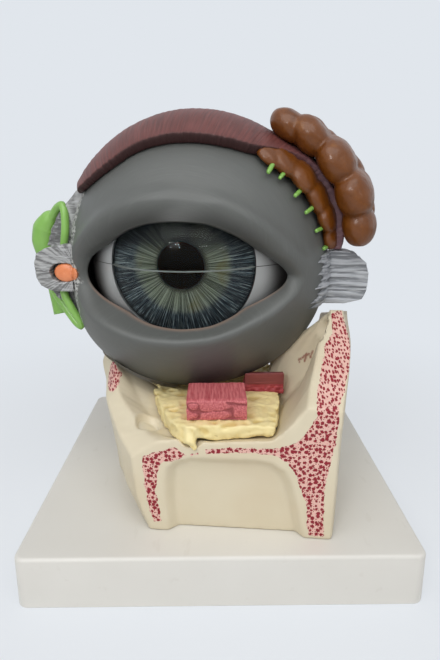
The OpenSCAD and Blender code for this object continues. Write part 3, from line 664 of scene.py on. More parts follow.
def tube(path, radii, sides=20, flat=1.0, steps=6, caps=4):
    """Rings of a rounded tube along a smooth curve through path."""
    path = smooth_rows(path, steps)
    radii = np.interp(np.linspace(0, 1, len(path)), np.linspace(0, 1, len(radii)), radii)
    way = np.gradient(path, axis=0)
    way /= np.linalg.norm(way, axis=1)[:, None]
    turns = [math.radians(90 * k / caps) for k in range(1, caps)]
    ends = [(-math.cos(a), math.sin(a)) for a in turns]
    spans = [(path[0] + way[0] * radii[0] * a, way[0], radii[0] * b) for a, b in ends]
    spans += list(zip(path, way, radii))
    spans += [(path[-1] - way[-1] * radii[-1] * a, way[-1], radii[-1] * b) for a, b in ends[::-1]]
    a = np.linspace(0, 2 * math.pi, sides, endpoint=False)[:, None]
    out = []
    for point, t, r in spans:
        s = np.cross(t, (0.2, -1, 0.1))
        s /= np.linalg.norm(s)
        out.append(point + r * (np.cos(a) * s + flat * np.sin(a) * np.cross(s, t)))
    return np.array(out)


def joined(name, *meshes):
    """One mesh that holds all the given ones."""
    held = bmesh.new()
    for mesh in meshes:
        held.from_mesh(mesh)
    made = bpy.data.meshes.new(name)
    held.to_mesh(made)
    held.free()
    return made


def fat_finish(place):
    valley = mark(place, "valley")
    soft = grain(place, 0.004, 3)
    pale = tinted(soft, paint(230, 211, 146), paint(242, 227, 176))
    # painted shade: darker yellow in the valleys of the wrinkles
    deep = tinted(fade(valley, -0.35, -1.1), pale, paint(216, 192, 124))
    specks = fade(grain(place, 0.0022, 2, (2.4, 1, 1)), 0.71, 0.76)
    return {"Base Color": tinted(specks * 0.4, deep, paint(170, 146, 86)),
            "Roughness": 0.36 + soft * 0.12,
            "Normal": relief(grain(place, 0.0016, 3, (2, 1, 1)), 0.0002)}


fat_paint = finish("fat", fat_finish)
drip_path = [(-14, -63, 70.5), (-9.5, -69, 71.3), (-5.5, -72.6, 70.6), (-3.6, -74.2, 68.2)]
drip_radii = (2.6, 2.6, 2.3, 1.7)
drip = mesh_of("fat_drip", turned(tube(drip_path, drip_radii, 16, 1.0, 4), bone_turn))
fat_raw = joined("fat_raw", nodes["orbital_fat"].data, drip)
fat_piece = recast("fat_cushion", fat_raw, 0.8, 4)
carve_fat(fat_piece)
dress(fat_piece, "root", "fat", fat_paint, "orbital_fat")

# ---- Cut muscles under the lids ----
# Two blocks of pink muscle glued to the fat: the front one shows fine fibres on top and
# a veined cut face, and the darker strip beside it has fibres that run across; the
# strip's upper part is painted brown as shade.


def muscle_finish(fibre_way, dark, light, dull=0.46, seam=paint(118, 40, 46)):
    def build(place):
        fibres = grain(place, 0.0009, 3, fibre_way)
        broad = grain(place, 0.006, 2)
        veins_and_shade = mark(place, "veins_and_shade")
        colour = tinted(fade(fibres, 0.32, 0.68), dark, light)
        colour = tinted(fade(broad, 0.5, 0.8) * 0.35, colour, paint(196, 112, 112))
        # the seam colour where the mesh's mark is set: veins on the block's cut face, painted shade on the
        # strip's upper part
        return {"Base Color": tinted(fade(veins_and_shade, 0.25, 0.75) * 0.75, colour, seam),
                "Roughness": dull + fibres * 0.14,
                "Normal": relief(fibres, 0.00022)}
    return build


def carve_block(piece):
    p, n = points_of(piece), normals_of(piece)
    face = soft_step(-n[:, 1], 0.6, 0.9) * soft_step(-p[:, 1], 60, 62)
    q = p * (1, 1, 1.9)
    bend = value_noise(q, 9, 4)[:, None] * (0, 0, 2.4)
    veins_and_shade = np.clip(1 - np.abs(value_noise(q + bend, 5.5, 7)) * 5, 0, 1) * face
    p = p + n * (-0.45 * veins_and_shade + 0.16 * value_noise(p * (1, 0.3, 1), 1.6, 9))[:, None]
    set_points(piece, p, {"veins_and_shade": veins_and_shade})


block_piece = recast("muscle_block", nodes["inferior_muscle_block"].data, 0.5, 3)
carve_block(block_piece)
muscle_pink = finish("muscle_block", muscle_finish((0.9, 12, 1), paint(170, 74, 80), paint(206, 116, 118)))
dress(block_piece, "root", "muscle", muscle_pink, "inferior_muscle_block")

strip_piece = recast("muscle_strip", nodes["lateral_muscle_strip"].data, 0.45, 3)
strip_points = points_of(strip_piece)
ragged = soft_step(-strip_points[:, 2], -81.5, -79.5)
strip_points += normals_of(strip_piece) * (0.5 * ragged * value_noise(strip_points, 1.3, 2))[:, None]
# the strip's upper part, above its ragged lower edge, is marked for painted shade in brown
set_points(strip_piece, strip_points, {"veins_and_shade": 1 - ragged})
muscle_dark = finish("muscle_strip", muscle_finish((14, 1, 0.8), paint(146, 46, 54), paint(176, 72, 78),
                                                   seam=paint(112, 58, 54)))
dress(strip_piece, "root", "muscle", muscle_dark, "lateral_muscle_strip")

# ---- Eyeball: coats ----
# Two half shells in glossy off-white that meet at a level seam, with two steel pins in
# it. The nerve and the straight muscles are glued to the outside, and inside lie two
# thinner coats. Towards the corners of the lids the white is darkened with painted shade.

seam_height = 0.142
shade_from, shade_to = 0.036, 0.047


def in_eye_frame(place):
    """The object's coordinates turned into the eye's own frame, in metres."""
    moved = place.vector("SUBTRACT", tuple(eye_at / 1000))
    return moved.node("VectorRotate", {"Vector": moved, "Angle": -eye_turn}, rotation_type="Z_AXIS")


def seam_line(place, outside, inside):
    """1 on a thin level line along the seam and 0 off it."""
    height = place.axis(2) - seam_height
    return fade(height * height, outside ** 2, inside ** 2)


def sclera_finish(place):
    tint = grain(place, 0.02, 3)
    vessels = fade(grain(place, 0.0035, 5, (1, 1, 1), 0.6), 0.62, 0.7)
    colour = tinted(tint, paint(150, 152, 152), paint(168, 169, 168))
    colour = tinted(seam_line(place, 0.00022, 0.0001), colour, paint(30, 26, 24))
    # painted shade: the white turns dark brown towards the corners of the lids, where their shadow falls
    across = in_eye_frame(place).axis(0)
    colour = tinted(fade(across * across, shade_from ** 2, shade_to ** 2) * 0.88, colour, paint(38, 32, 28))
    return {"Base Color": tinted(vessels * 0.12, colour, paint(186, 160, 150)),
            "Roughness": 0.28 + tint * 0.08,
            "Normal": relief(grain(place, 0.003, 2), 0.00005)}


sclera_white = finish("sclera", sclera_finish, Coat_Weight=0.4, Coat_Roughness=0.12)


def choroid_finish(place):
    vessels = fade(grain(place, 0.004, 4, (1, 2.4, 1)), 0.46, 0.56)
    colour = tinted(vessels, paint(66, 30, 24), paint(122, 44, 34))
    return {"Base Color": colour, "Roughness": 0.45 + vessels * 0.1,
            "Normal": relief(vessels, 0.0002)}


def retina_finish(place):
    tint = grain(place, 0.012, 3)
    vessels = fade(grain(place, 0.006, 6, (1, 1.6, 1), 0.62), 0.6, 0.64)
    colour = tinted(tint, paint(206, 108, 58), paint(226, 142, 84))
    return {"Base Color": tinted(vessels * 0.8, colour, paint(140, 26, 28)),
            "Roughness": 0.4 + tint * 0.1}


choroid_brown = finish("choroid", choroid_finish)
retina_orange = finish("retina", retina_finish)
ciliary_brown = finish("ciliary", streaked(0.002, 2, (1, 6, 1), paint(54, 22, 20), paint(96, 44, 38),
                                           0.5, 0.1, 0.0005))
for coat, material in (("sclera", sclera_white), ("choroid", choroid_brown), ("retina", retina_orange),
                       ("ciliary_ring", ciliary_brown)):
    paint_node(coat + "_lower", material)
    paint_node(coat + "_upper", material)


nerve_piece = recast("optic_nerve_sheath", nodes["optic_nerve"].data, 0.7, 3)
nerve_cream = finish("nerve", streaked(0.0012, 3, (1, 8, 1), paint(214, 198, 148), paint(238, 228, 190),
                                       0.42, 0.1, 0.0002))
dress(nerve_piece, "eyeball", "nerve", nerve_cream, "optic_nerve")
muscle_band = finish("muscle_band", muscle_finish((1, 10, 1), paint(160, 66, 70), paint(204, 112, 110)))
for name, body in (("medial_rectus", "eyeball"), ("lateral_rectus", "eyeball"), ("inferior_rectus", "eyeball"),
                   ("superior_rectus", "upper_coat"), ("superior_oblique", "upper_coat")):
    band = recast(name + "_band", nodes[name].data, 0.45, 4)
    set_points(band, points_of(band), {"veins_and_shade": np.zeros(len(band.data.vertices))})
    dress(band, body, "muscle", muscle_band, name)

# ---- Iris ----
# A shallow dome in two halves, painted in grey-green round the pupil and blue-black at
# the rim, with fine pale streaks that run outwards and stand a little proud.

limbus_y, cornea_y, cornea_r, cornea_t = -48.88, -27.97, 40.6, 2.2
iris_rim_y, iris_dome, iris_thick, iris_r = -47.08, 4.6, 2.2, 34.6
pupil_r, pupil_x = 11.3, -0.6


def to_world(local):
    """From the eye's own frame, looking along -y, to the model's."""
    return turned(np.asarray(local, float), eye_turn) + eye_at


def iris_half(name, start, body, replaced):
    spokes, rows = 361, 44
    clock = np.radians(np.linspace(start, start + 180, spokes))
    ways = np.stack([np.sin(clock), np.cos(clock)], axis=1)
    inner = ways * pupil_r + (pupil_x, 0)
    outer = ways * iris_r
    f = np.linspace(0, 1, rows)[None, :, None]
    flat = inner[:, None] * (1 - f) + outer[:, None] * f
    r = np.linalg.norm(flat, axis=2)
    rise = np.clip((iris_r - r) / (iris_r - pupil_r), 0, 1.1)
    front = iris_rim_y - iris_dome * rise
    streak = value_noise(np.stack([ways[:, 0] * 34, ways[:, 1] * 34, np.zeros(spokes)], axis=1), 1.5, 5)
    folds_in = np.sin(np.linspace(0, math.pi, rows))[None] * streak[:, None] * 0.16
    ruff = 0.25 * np.exp(-((f[..., 0] - 0.035) / 0.03) ** 2)
    top = np.stack([flat[..., 0], front - folds_in - ruff, flat[..., 1]], axis=2)
    back = np.stack([flat[..., 0], front + iris_thick - 0.2, flat[..., 1]], axis=2)[:, ::-1]
    loop = np.concatenate([top, back], axis=1)
    dress(mesh_piece(name, to_world(loop)), body, "iris", iris_paint, replaced)


def iris_finish(place):
    own = in_eye_frame(place)
    x, z = own.axis(0), own.axis(2)
    r = (x * x + z * z).maths("SQRT")
    ux, uz = x.maths("DIVIDE", r), z.maths("DIVIDE", r)

    def spokes(count, depth, seed, detail=3.0):
        k = count / (2 * math.pi)
        return noise(combined(ux * k, uz * k, r * depth + seed), detail, 0.55)

    broad, patches = spokes(22, 150, 3.0), spokes(7, 70, 11.0, 2.0)
    r_mm = r * 1000
    jagged = r_mm + (spokes(120, 20, 5.0, 1.0) - 0.5) * (fade(r_mm, 12, 20) * 2.4 + 1.0)
    tone = ramp(jagged * (1 / 36), [
        (0.304, paint(16, 11, 9)), (0.322, paint(52, 52, 42)), (0.37, paint(72, 76, 60)),
        (0.50, paint(84, 90, 72)), (0.60, paint(80, 87, 78)), (0.645, paint(44, 51, 56)),
        (0.70, paint(18, 26, 35)), (0.90, paint(13, 19, 27)), (0.975, paint(8, 11, 16))])
    fine, finer = spokes(430, 16, 1.0, 1.0), spokes(620, 130, 7.0, 2.0)
    short = spokes(560, 75, 9.0, 2.0)
    ring_in, ring_out = fade(r_mm, 25, 22), fade(r_mm, 22, 25)
    lines = fade(fine, 0.51, 0.57) * ring_in + fade(short, 0.54, 0.6) * ring_out
    hairs = fade(finer, 0.48, 0.6)
    pale_in = tinted(patches, paint(146, 154, 124), paint(172, 180, 172))
    pale = tinted(ring_out, pale_in, tinted(hairs, paint(88, 104, 112), paint(176, 190, 190)))
    keep = fade(r_mm, 35.0, 32.0) * fade(r_mm, 11.6, 14)
    colour = tinted(lines * keep * (ring_out * 0.2 + 0.55), tone, pale)
    colour = tinted(hairs * keep * 0.18, colour, pale)
    gaps = fade(fine, 0.475, 0.41) * fade(r_mm, 11, 13)
    colour = tinted(gaps * 0.72, colour, paint(14, 18, 22))
    olive = fade(patches, 0.52, 0.66) * fade(r_mm, 25, 19) * fade(r_mm, 12, 15)
    colour = tinted(olive * 0.42, colour, paint(96, 88, 34))
    # painted shade: the top of the iris is darkened where the upper lid's shadow falls
    colour = tinted(fade(z * 1000, 3, 13) * 0.85, colour, paint(14, 18, 21))
    dusk = fade(broad, 0.56, 0.72) * fade(r_mm, 16, 22)
    colour = tinted(dusk * 0.5, colour, paint(34, 38, 44))
    return {"Base Color": colour, "Roughness": 0.55 + lines * 0.1,
            "Normal": relief(fine * ring_in + short * ring_out, 0.0004)}


iris_paint = finish("iris", iris_finish, Specular_IOR_Level=0.2)
iris_half("iris_half_upper", -90, "upper_choroid", "iris_upper")
iris_half("iris_half_lower", 90, "eyeball", "iris_lower")

# ---- Clear window ----
# A thick clear dome over the iris, moulded in two halves; their polished edges meet in
# a thin line across the eye.

window_rim_r, rim_step = 34.75, 1.3


def window_half(name, start, body, replaced):
    spokes, rows = 181, 40
    clock = np.radians(np.linspace(start, start + 180, spokes))
    t = np.linspace(0.0, math.asin(window_rim_r / cornea_r), rows)
    shell = []
    for radius, order in ((cornea_r, t), (cornea_r - cornea_t, t[::-1])):
        reach = radius * np.sin(order)
        depth = cornea_y - radius * np.cos(order)
        if radius < cornea_r:
            depth = np.minimum(depth, limbus_y + rim_step)
        shell.append(np.stack([np.outer(np.sin(clock), reach), np.tile(depth, (spokes, 1)),
                               np.outer(np.cos(clock), reach)], axis=2))
    loop = np.concatenate(shell, axis=1)
    dress(mesh_piece(name, to_world(loop)), body, "clear_window", window_clear, replaced)


def clear_finish(name, tint, most, seam=0.0):
    """Clear plastic: light passes straight through, and the skin mirrors more at a slant."""
    made, tree, place = new_material(name)
    tree.nodes.remove(tree.nodes["Principled BSDF"])
    through = shader(tree, "BsdfTransparent", {"Color": tint})
    mirror = shader(tree, "BsdfPrincipled",
                    {"Base Color": (0.92, 0.92, 0.92, 1), "Metallic": 1.0, "Roughness": 0.04})
    slant = place.node("LayerWeight", {"Blend": 0.5}, "Facing")
    surface = ((slant.maths("POWER", 5.0) * 0.96 + 0.022) * most).mixed(through, mirror)
    if seam:
        edge = shader(tree, "BsdfPrincipled", {"Base Color": paint(150, 156, 152), "Roughness": 0.3})
        surface = (seam_line(place, 0.00026, 0.00012) * seam).mixed(surface, edge)
    show(tree, surface)
    return made


window_clear = clear_finish("clear_window", (0.96, 0.975, 0.975, 1), 0.22, 0.5)
window_half("window_half_upper", -90, "upper_coat", "cornea_upper")
window_half("window_half_lower", 90, "eyeball", "cornea_lower")

# ---- Lens and vitreous body ----
# Two clear solid castings that lie in the middle of the ball, one in the other's hollow.

# painted shade: the lens is tinted brownish-grey so that the pupil reads dark
paint_node("lens", clear_finish("lens_clear", (0.72, 0.66, 0.62, 1), 0.0))
paint_node("vitreous_body", clear_finish("vitreous", (0.86, 0.86, 0.86, 1), 0.0))

# ---- Eyelids ----
# One hollow casting in satin grey paint, brushed round the opening. The upper lid rolls
# in under a soft fold, and the lower lid has a full rounded margin with a thin pink line.

lid_edge = [(-180, 26.6), (-169, 26.9), (-149, 29.9), (-133.6, 34.3), (-120.5, 40.7), (-110.8, 47.6),
            (-103.6, 51.4), (-98, 52), (-92.4, 50.2), (-88, 47.8), (-82, 42.4), (-77.8, 38.4), (-65.4, 30.5),
            (-52.5, 25.5), (-30, 20.5), (0, 18.3), (20, 19.3), (34, 21.3), (55, 25.7), (71, 32), (83.4, 39.6),
            (91.7, 47.3), (95.5, 50), (99, 49.6), (109.6, 42.6), (120.3, 36.7), (136.2, 31.8), (151.7, 29.0),
            (170.5, 26.7), (180, 26.6)]
lid_rim = [(-180, 60), (-160, 61.5), (-145, 63.5), (-130, 65.5), (-95, 69), (-75, 73), (-50, 79), (-20, 83),
           (0, 84), (60, 84), (90, 83), (105, 80), (120, 75), (135, 69.5), (150, 65), (165, 61.5), (180, 60)]
lid_swell = [(-180, 0.85), (-150, 1), (-125, 0.95), (-105, 0.3), (-88, 0.05), (-60, 0), (80, 0),
             (100, 0.3), (125, 0.65), (150, 0.7), (180, 0.85)]
lid_gap, lid_clear, lip_depth, window_tilt = 0.8, 2.2, 1.6, 35.45
corner_lip_r, lid_fold, margin_lean = 66.2, 2.5, 2.1
dry_edge = [(-180, 99), (-150, 99), (-138, 66), (-128, 61.5), (-120, 59), (-112, 56), (-105, 53.2), (-98, 53),
            (-92, 53.6), (-86, 53.4), (-80, 54.5), (-72, 56), (-66, 58), (-60, 59.5), (-50, 64), (-42, 99),
            (0, 99), (180, 99)]


def curve(table, at, round_trip=False):
    """A smooth curve through (clock, value) pairs, read at the given clock angles."""
    x, y = np.array(table, float).T
    if round_trip:
        x = np.concatenate([x[-3:-1] - 360, x, x[1:3] + 360])
        y = np.concatenate([y[-3:-1], y, y[1:3]])
    slope = np.gradient(y, x)
    at = np.asarray(at, float)
    i = np.clip(np.searchsorted(x, at, side="right") - 1, 0, len(x) - 2)
    h = x[i + 1] - x[i]
    f = np.clip((at - x[i]) / h, 0, 1)
    return ((1 + 2 * f) * (1 - f) ** 2 * y[i] + f * (1 - f) ** 2 * h * slope[i]
            + f * f * (3 - 2 * f) * y[i + 1] + f * f * (f - 1) * h * slope[i + 1])


def straight_curve(table, at):
    x, y = np.array(table, float).T
    return np.interp(at, x, y)


def polar(r, t, p):
    """A point at distance r, angle t from the line of sight and clock angle p, in degrees."""
    r, t, p = np.broadcast_arrays(r, np.radians(t), np.radians(p))
    return np.stack([r * np.sin(t) * np.sin(p), -r * np.cos(t), r * np.sin(t) * np.cos(p)], axis=-1)


def lid_out(p):
    return lid_r + lid_full * curve(lid_swell, p, True)


def window_reach(t):
    c, b = -cornea_y, -cornea_y * np.cos(np.radians(t))
    dome = b + np.sqrt(np.maximum(b * b - c * c + cornea_r * cornea_r, 0))
    return np.where(np.abs(t) > window_tilt, ball_r, dome)


def lid_in(t):
    ball = ball_r + 0.35 + (lid_clear - 0.35) * np.clip((t - 48) / 10, 0, 1)
    return np.maximum(window_reach(t) + lid_gap, ball)


def eyelids():
    """The shell of both lids: rings across it from the free edge over the outside and back inside."""
    spokes = 540
    p = -180 + 360 * np.arange(spokes) / spokes
    t0, t1 = curve(lid_edge, p, True), curve(lid_rim, p, True)
    upper = soft_step((110 - np.abs(p)) / 60, 0, 1)
    lower = soft_step(np.abs(p), 102, 132)
    corner = np.exp(-((np.abs(p) - 97) / 17) ** 2)
    roll = 4 + 4 * upper + 0.4 * lower
    ri, ro = lid_in(t0), lid_out(p)
    lip = (ri + lip_depth) * (1 - corner) + np.maximum(ri + lip_depth, corner_lip_r) * corner
    ri = lip - lip_depth
    lean = margin_lean * lower
    square = 2 / (2 + 1.8 * lower)
    rows, pinks, hollows, tilts = [], [], [], []

    def row(r, t, pink=0.0, hollow=0.0):
        fold = lid_fold * np.exp(-((t - t0 - 9.2) / 4.3) ** 2) * upper * soft_step(r - lip, -0.2, 1.0)
        rows.append(polar(r + fold, t, p))
        pinks.append(pink * soft_step(np.abs(p), 96, 112))
        # hollow: how much painted shade, near black, the row gets inside the shell and on its free edge
        hollows.append(np.full(spokes, hollow))
        tilts.append(t)

    # the free edge, the rolled margin, the outside, the rim, the flange and the inside
    row(ri + 0.2, t0 + 0.3, 0.3, 0.8)
    row(ri + 0.5, t0, 0.8)
    row(ri + 1.0, t0 - 0.05, 0.8)
    for g in np.linspace(0, 1, 34):
        a = math.radians(90 * g ** 1.5 / (g ** 1.5 + (1 - g) ** 1.5))
        round_r = lip + (ro - lip) * math.sin(a) ** square
        round_t = t0 - lean * math.sin(a) + (roll + lean) * (1 - np.maximum(math.cos(a), 0) ** square)
        eased_r = lip + (ro - lip) * (1 - (1 - g) ** 1.35)
        row(round_r * (1 - upper) + eased_r * upper, round_t * (1 - upper) + (t0 + roll * g) * upper,
            max(0.0, 0.6 - g * 14))
    for g in np.linspace(0, 1, 44)[1:]:
        row(ro, t0 + roll + (t1 - 1.5 - t0 - roll) * g)
    for down, short in ((0.25, 1.0), (0.8, 0.45), (1.6, 0.1), (2.6, 0.0)):
        row(ro - down, t1 - short)
    row(ball_r + lid_clear + 0.6 - (lid_clear + 0.68) * np.exp(-((np.abs(p) - 98) / 40) ** 8), t1, 0, 0.5)
    for g in np.linspace(0.98, 0.02, 16):
        t = t0 + 0.6 + (t1 - 0.5 - t0 - 0.6) * g
        lift = (ri - lid_in(t0)) * (1 - soft_step(t - t0, 2, 16))
        row(lid_in(t) + lift, t, 0, 1.0)
    row(ri, t0 + 0.5, 0, 1.0)
    loop, tilt = np.stack(rows, axis=1), np.stack(tilts, axis=1)
    flat = loop.reshape(-1, 3)
    r = np.linalg.norm(flat, axis=1)
    waver = 0.11 * value_noise(flat, 16, 21) + 0.05 * value_noise(flat, 6, 22)
    outer = soft_step(r, 66, 69)
    flat = flat * (1 + (waver - 0.08) * outer / r)[:, None]
    clock = np.repeat(p, loop.shape[1])
    frayed = 1.6 * value_noise(np.stack([clock * 0.7, tilt.ravel() * 0.7, 0 * clock], axis=1), 1.0, 31)
    past = tilt.ravel() + frayed - straight_curve(dry_edge, clock)
    # under: where the upper lid's rolled margin gets painted shade
    marks = {"pink": np.stack(pinks, axis=1), "hollow": np.stack(hollows, axis=1), "tilt": tilt, "clock": clock,
             "under": upper[:, None] * (1 - soft_step(tilt - t0[:, None], 0.5, 8.5)),
             "dry": soft_step(past, -0.3, 0.5) * outer}
    return mesh_piece("eyelids", to_world(flat), ring_faces(spokes, loop.shape[1], closed=True), marks)


def lid_finish(place):
    pink, hollow, dry, under = (mark(place, name) for name in ("pink", "hollow", "dry", "under"))
    brushed = noise(combined(mark(place, "tilt") * 1.5, mark(place, "clock") * 0.045), 4.0, 0.6)
    cloud = grain(place, 0.022, 3)
    grey = tinted(cloud, paint(88, 90, 88), paint(95, 97, 94))
    grey = tinted(fade(brushed, 0.5, 0.8) * 0.4, grey, paint(108, 111, 109))
    grey = tinted(fade(brushed, 0.46, 0.25) * 0.3, grey, paint(78, 80, 77))
    # painted shade along the rolled margin of the upper lid
    grey = tinted(under * 0.95, grey, paint(40, 40, 36))
    hairs = fade(grain(place, 0.0013, 3, (1.6, 1, 1)), 0.42, 0.56)
    streaky = tinted(hairs, paint(98, 99, 97), paint(196, 197, 194))
    colour = tinted(dry * 0.85, grey, streaky)
    colour = tinted(pink * 0.6, colour, paint(158, 126, 108))
    # painted shade, near black, inside the shell and on its free edge
    colour = tinted(hollow, colour, paint(30, 22, 19))
    return {"Base Color": colour,
            "Roughness": 0.4 + brushed * 0.12 + dry * 0.2,
            "Normal": relief(brushed * 0.5 + grain(place, 0.0022, 3) * 0.3 + hairs * dry * 1.4, 0.00014)}


lid_grey = finish("lid_grey", lid_finish, Specular_IOR_Level=0.45)
dress(eyelids(), "lids", "lid_grey", lid_grey, "eyelid_shell")

# ---- Lid-raising muscle ----
# A thin fan glued over the upper lid, red-brown with fine fibres from front to back;
# its cut edge is painted dark as shade, and it narrows to a strap between the two lobes of the tear gland.

levator_from, levator_to = -59.5, 86.2
levator_edge = [(levator_from, 63.5), (-56, 60), (-50, 56), (-40, 53), (-20, 53), (10, 54), (22, 56), (33, 60),
                (42, 68), (52, 74.5), (62, 77), (88, 77)]
levator_lift = [(levator_from, 0.6), (-40, 0.3), (0, 0.3), (30, 0.3), (42, 2), (50, 3.4), (58, 4.2), (80, 4.2),
                (88, 3)]
levator_back_of = [(levator_from, 0), (-45, 0.1), (-22, 1), (40, 1), (62, 0.1), (88, 0)]
levator_thins = [(levator_from, 0.62), (-35, 0.8), (-5, 1)]
levator_t, levator_back, levator_reach = 5.7, 24.0, 89


def levator():
    spokes = 289
    p = np.linspace(levator_from, levator_to, spokes)
    t0 = curve(levator_edge, p)
    base = lid_out(p) + straight_curve(levator_lift, p)
    strap = 1 + 0.32 * np.clip((p - 40) / 14, 0, 1) - 0.6 * np.clip((p - 76) / 10, 0, 1)
    thick = levator_t * np.where(p > 40, strap, 1)
    tip = np.sqrt(np.clip((p - levator_from) / 2.4, 0.02, 1))
    thick = thick * (0.25 + 0.75 * tip) * straight_curve(levator_thins, p)
    t0 = t0 + 1.8 * (1 - tip)
    share = straight_curve(levator_back_of, p)
    back = np.maximum(levator_back * share * share * (3 - 2 * share), 1)
    reach = soft_step(share * 3 + 0.5, 0, 1)
    t1 = (t0 + 8) + (levator_reach - t0 - 8) * reach
    ragged = 0.25 * value_noise(np.stack([p * 1.3, 0 * p, 0 * p], axis=1), 1.0, 3)
    rows, darks = [], []

    def row(r, t, tail=0.0, dark=0.0):
        rows.append(polar(r, t, p) + np.stack([0 * p, tail + 0 * p, 0 * p], axis=1))
        darks.append(np.full(spokes, dark))

    # the cut edge in front, the outside, the back that hangs down behind, and the inside
    for g in np.linspace(0, 1, 11):
        a = math.radians(-90 + 180 * g)
        bulge = math.copysign(abs(math.sin(a)) ** 0.7, math.sin(a))
        row(base + thick * 0.5 * (1 + bulge), t0 - 0.9 * math.cos(a) ** 0.6 * (g not in (0, 1)) - ragged + 0.3,
            0, min(1.0, (1 - g) * 4 + 0.1))
    for g in np.linspace(0, 1, 42)[1:]:
        row(base + thick, t0 + 0.6 + (t1 - t0 - 0.6) * g)
    for g in (0.3, 0.6, 0.9, 1.0):
        row(base + thick, t1, back * g)
    row(base + thick * 0.5, t1, back + 0.3)
    row(base, t1, back)
    for g in np.linspace(1, 0.02, 12):
        row(base, t0 + 0.4 + (t1 - t0 - 0.4) * g)
    loop = np.stack(rows, axis=1)
    clock = np.repeat(p, loop.shape[1])
    flat = loop.reshape(-1, 3)
    r = np.linalg.norm(flat[:, [0, 2]], axis=1)
    fibre = value_noise(np.stack([clock * 1.25, flat[:, 1] * 0.06, 0 * r], axis=1), 1.0, 41)
    crest = np.repeat(base + thick * 0.7, loop.shape[1])
    outer = (np.linalg.norm(flat, axis=1) > crest) | (r > crest)
    flat = flat * (1 + 0.16 * (fibre - 0.5) * outer / np.maximum(r, 20))[:, None]
    marks = {"clock": clock, "dark": np.stack(darks, axis=1)}
    return mesh_piece("levator", to_world(flat), ring_faces(spokes, loop.shape[1]), marks)


def levator_finish(place):
    clock, dark = mark(place, "clock"), mark(place, "dark")
    fibres = noise(combined(clock * 1.1, in_eye_frame(place).axis(1) * 45), 4.0, 0.65)
    patches = grain(place, 0.02, 2)
    colour = tinted(fade(fibres, 0.3, 0.7), paint(76, 37, 33), paint(112, 62, 57))
    colour = tinted(fade(patches, 0.4, 0.7) * 0.35, colour, paint(118, 72, 70))
    colour = tinted(fade(fibres, 0.66, 0.8) * 0.4, colour, paint(136, 98, 96))
    colour = tinted(fade(clock, 36, 60) * 0.6, colour, paint(112, 88, 98))
    # painted shade: the cut edge in front is darkened, less so towards the strap
    colour = tinted(dark * (1 - fade(clock, 38, 50)) * 0.86, colour, paint(44, 24, 24))
    return {"Base Color": colour, "Roughness": 0.42 + fibres * 0.16, "Normal": relief(fibres, 0.0003)}


levator_brown = finish("levator", levator_finish, Specular_IOR_Level=0.35)
dress(levator(), "lids", "levator", levator_brown, "levator_muscle")

# ---- Tear gland ----
# Two rows of plump lobes in glossy orange-brown, one on each side of the strap. Each
# lobe laps over the one above it. Six short green ducts lead from the lower row to the lid.

gland_clear = 0.25


def ball_rings(steps=40):
    """A ball of radius 1 as rings of points."""
    a = np.linspace(0.02, math.pi - 0.02, steps // 2)[:, None]
    b = np.linspace(0, 2 * math.pi, steps, endpoint=False)
    return np.stack([np.sin(a) * np.cos(b), np.sin(a) * np.sin(b), np.cos(a) + 0 * b], axis=-1)


def rings_mesh(name, bodies):
    """One mesh of several ringed bodies, given in the eye's own frame."""
    points, faces = [], []
    for rings in bodies:
        start = sum(len(p) for p in points)
        points.append(rings.reshape(-1, 3))
        faces += [[i + start for i in face] for face in ring_faces(*rings.shape[:2])]
    return mesh_of(name, to_world(np.concatenate(points)), faces)


def lobes(name, rows):
    """Rounded bodies that run into each other. A row: clock and tilt of the centre, its distance,
    half its length along the clock, half its width along the tilt, half its height, and its slant."""
    bodies = []
    ball = ball_rings()
    q = ball.reshape(-1, 3)
    square = np.sign(q) * np.abs(q) ** 0.9
    for p, t, r, long, wide, high, slant in rows:
        centre = polar(r, t, p)
        out = centre / np.linalg.norm(centre)
        side = np.cross(out, polar(1.0, 90.0, p + 90.0))
        side /= np.linalg.norm(side)
        along = np.cross(side, out)
        c, s = math.cos(math.radians(slant)), math.sin(math.radians(slant))
        along, side = along * c + side * s, side * c - along * s
        plump = 1 + 0.05 * value_noise(q * 10 + p, 6, 3)[:, None]
        body = centre + (square[:, :1] * long * along + square[:, 1:2] * wide * side
                         + square[:, 2:] * high * out) * plump
        bodies.append(body.reshape(ball.shape))
    made = recast(name, rings_mesh(name + "_raw", bodies), 0.7, 3)
    p = points_of(made)
    lumps = 0.35 * value_noise(p, 7, 51) + 0.12 * value_noise(p, 2.6, 52)
    set_points(made, kept_clear(p + normals_of(made) * lumps[:, None], lid_r + gland_clear))
    return made


# tilt, half the width along it, distance and half the height, each along the clock
upper_form = ([(26, 83), (50, 83), (70, 82), (88, 82)],
              [(26, 8), (40, 11), (55, 14), (72, 14), (88, 9)],
              [(26, 82), (36, 82.6), (50, 86.6), (66, 89.2), (78, 88.4), (88, 84.8)],
              [(26, 6), (36, 7.2), (50, 8.4), (66, 9.4), (78, 8.6), (88, 6.4)])
lower_form = ([(34, 60), (41, 64.5), (50, 68.5), (61, 72.5), (72, 75.5), (86, 80)],
              [(34, 4), (41, 6.5), (50, 8.5), (61, 9), (72, 8.5), (86, 6)],
              [(34, 72), (50, 72.8), (61, 73.4), (87, 73.4)],
              [(34, 3.2), (50, 4.4), (64, 4.8), (87, 4)])
# clock angle, half length along it, slant, and how far it stands out
upper_lobes = [(36.5, 10.5, -14, -0.5), (44.5, 11.5, -14, 0.5), (56, 12.5, 10, 0.7), (68, 12, 10, 0.6),
               (78.5, 10.5, 4, -0.1)]
lower_lobes = [(38.5, 7.5, -22, -0.3), (45, 8.5, -22, 0.1), (54, 8.8, 10, 0.6), (63.5, 8.8, 12, 0.2),
               (72.5, 8.4, 8, 0.5), (81, 6.5, 0, -0.3)]
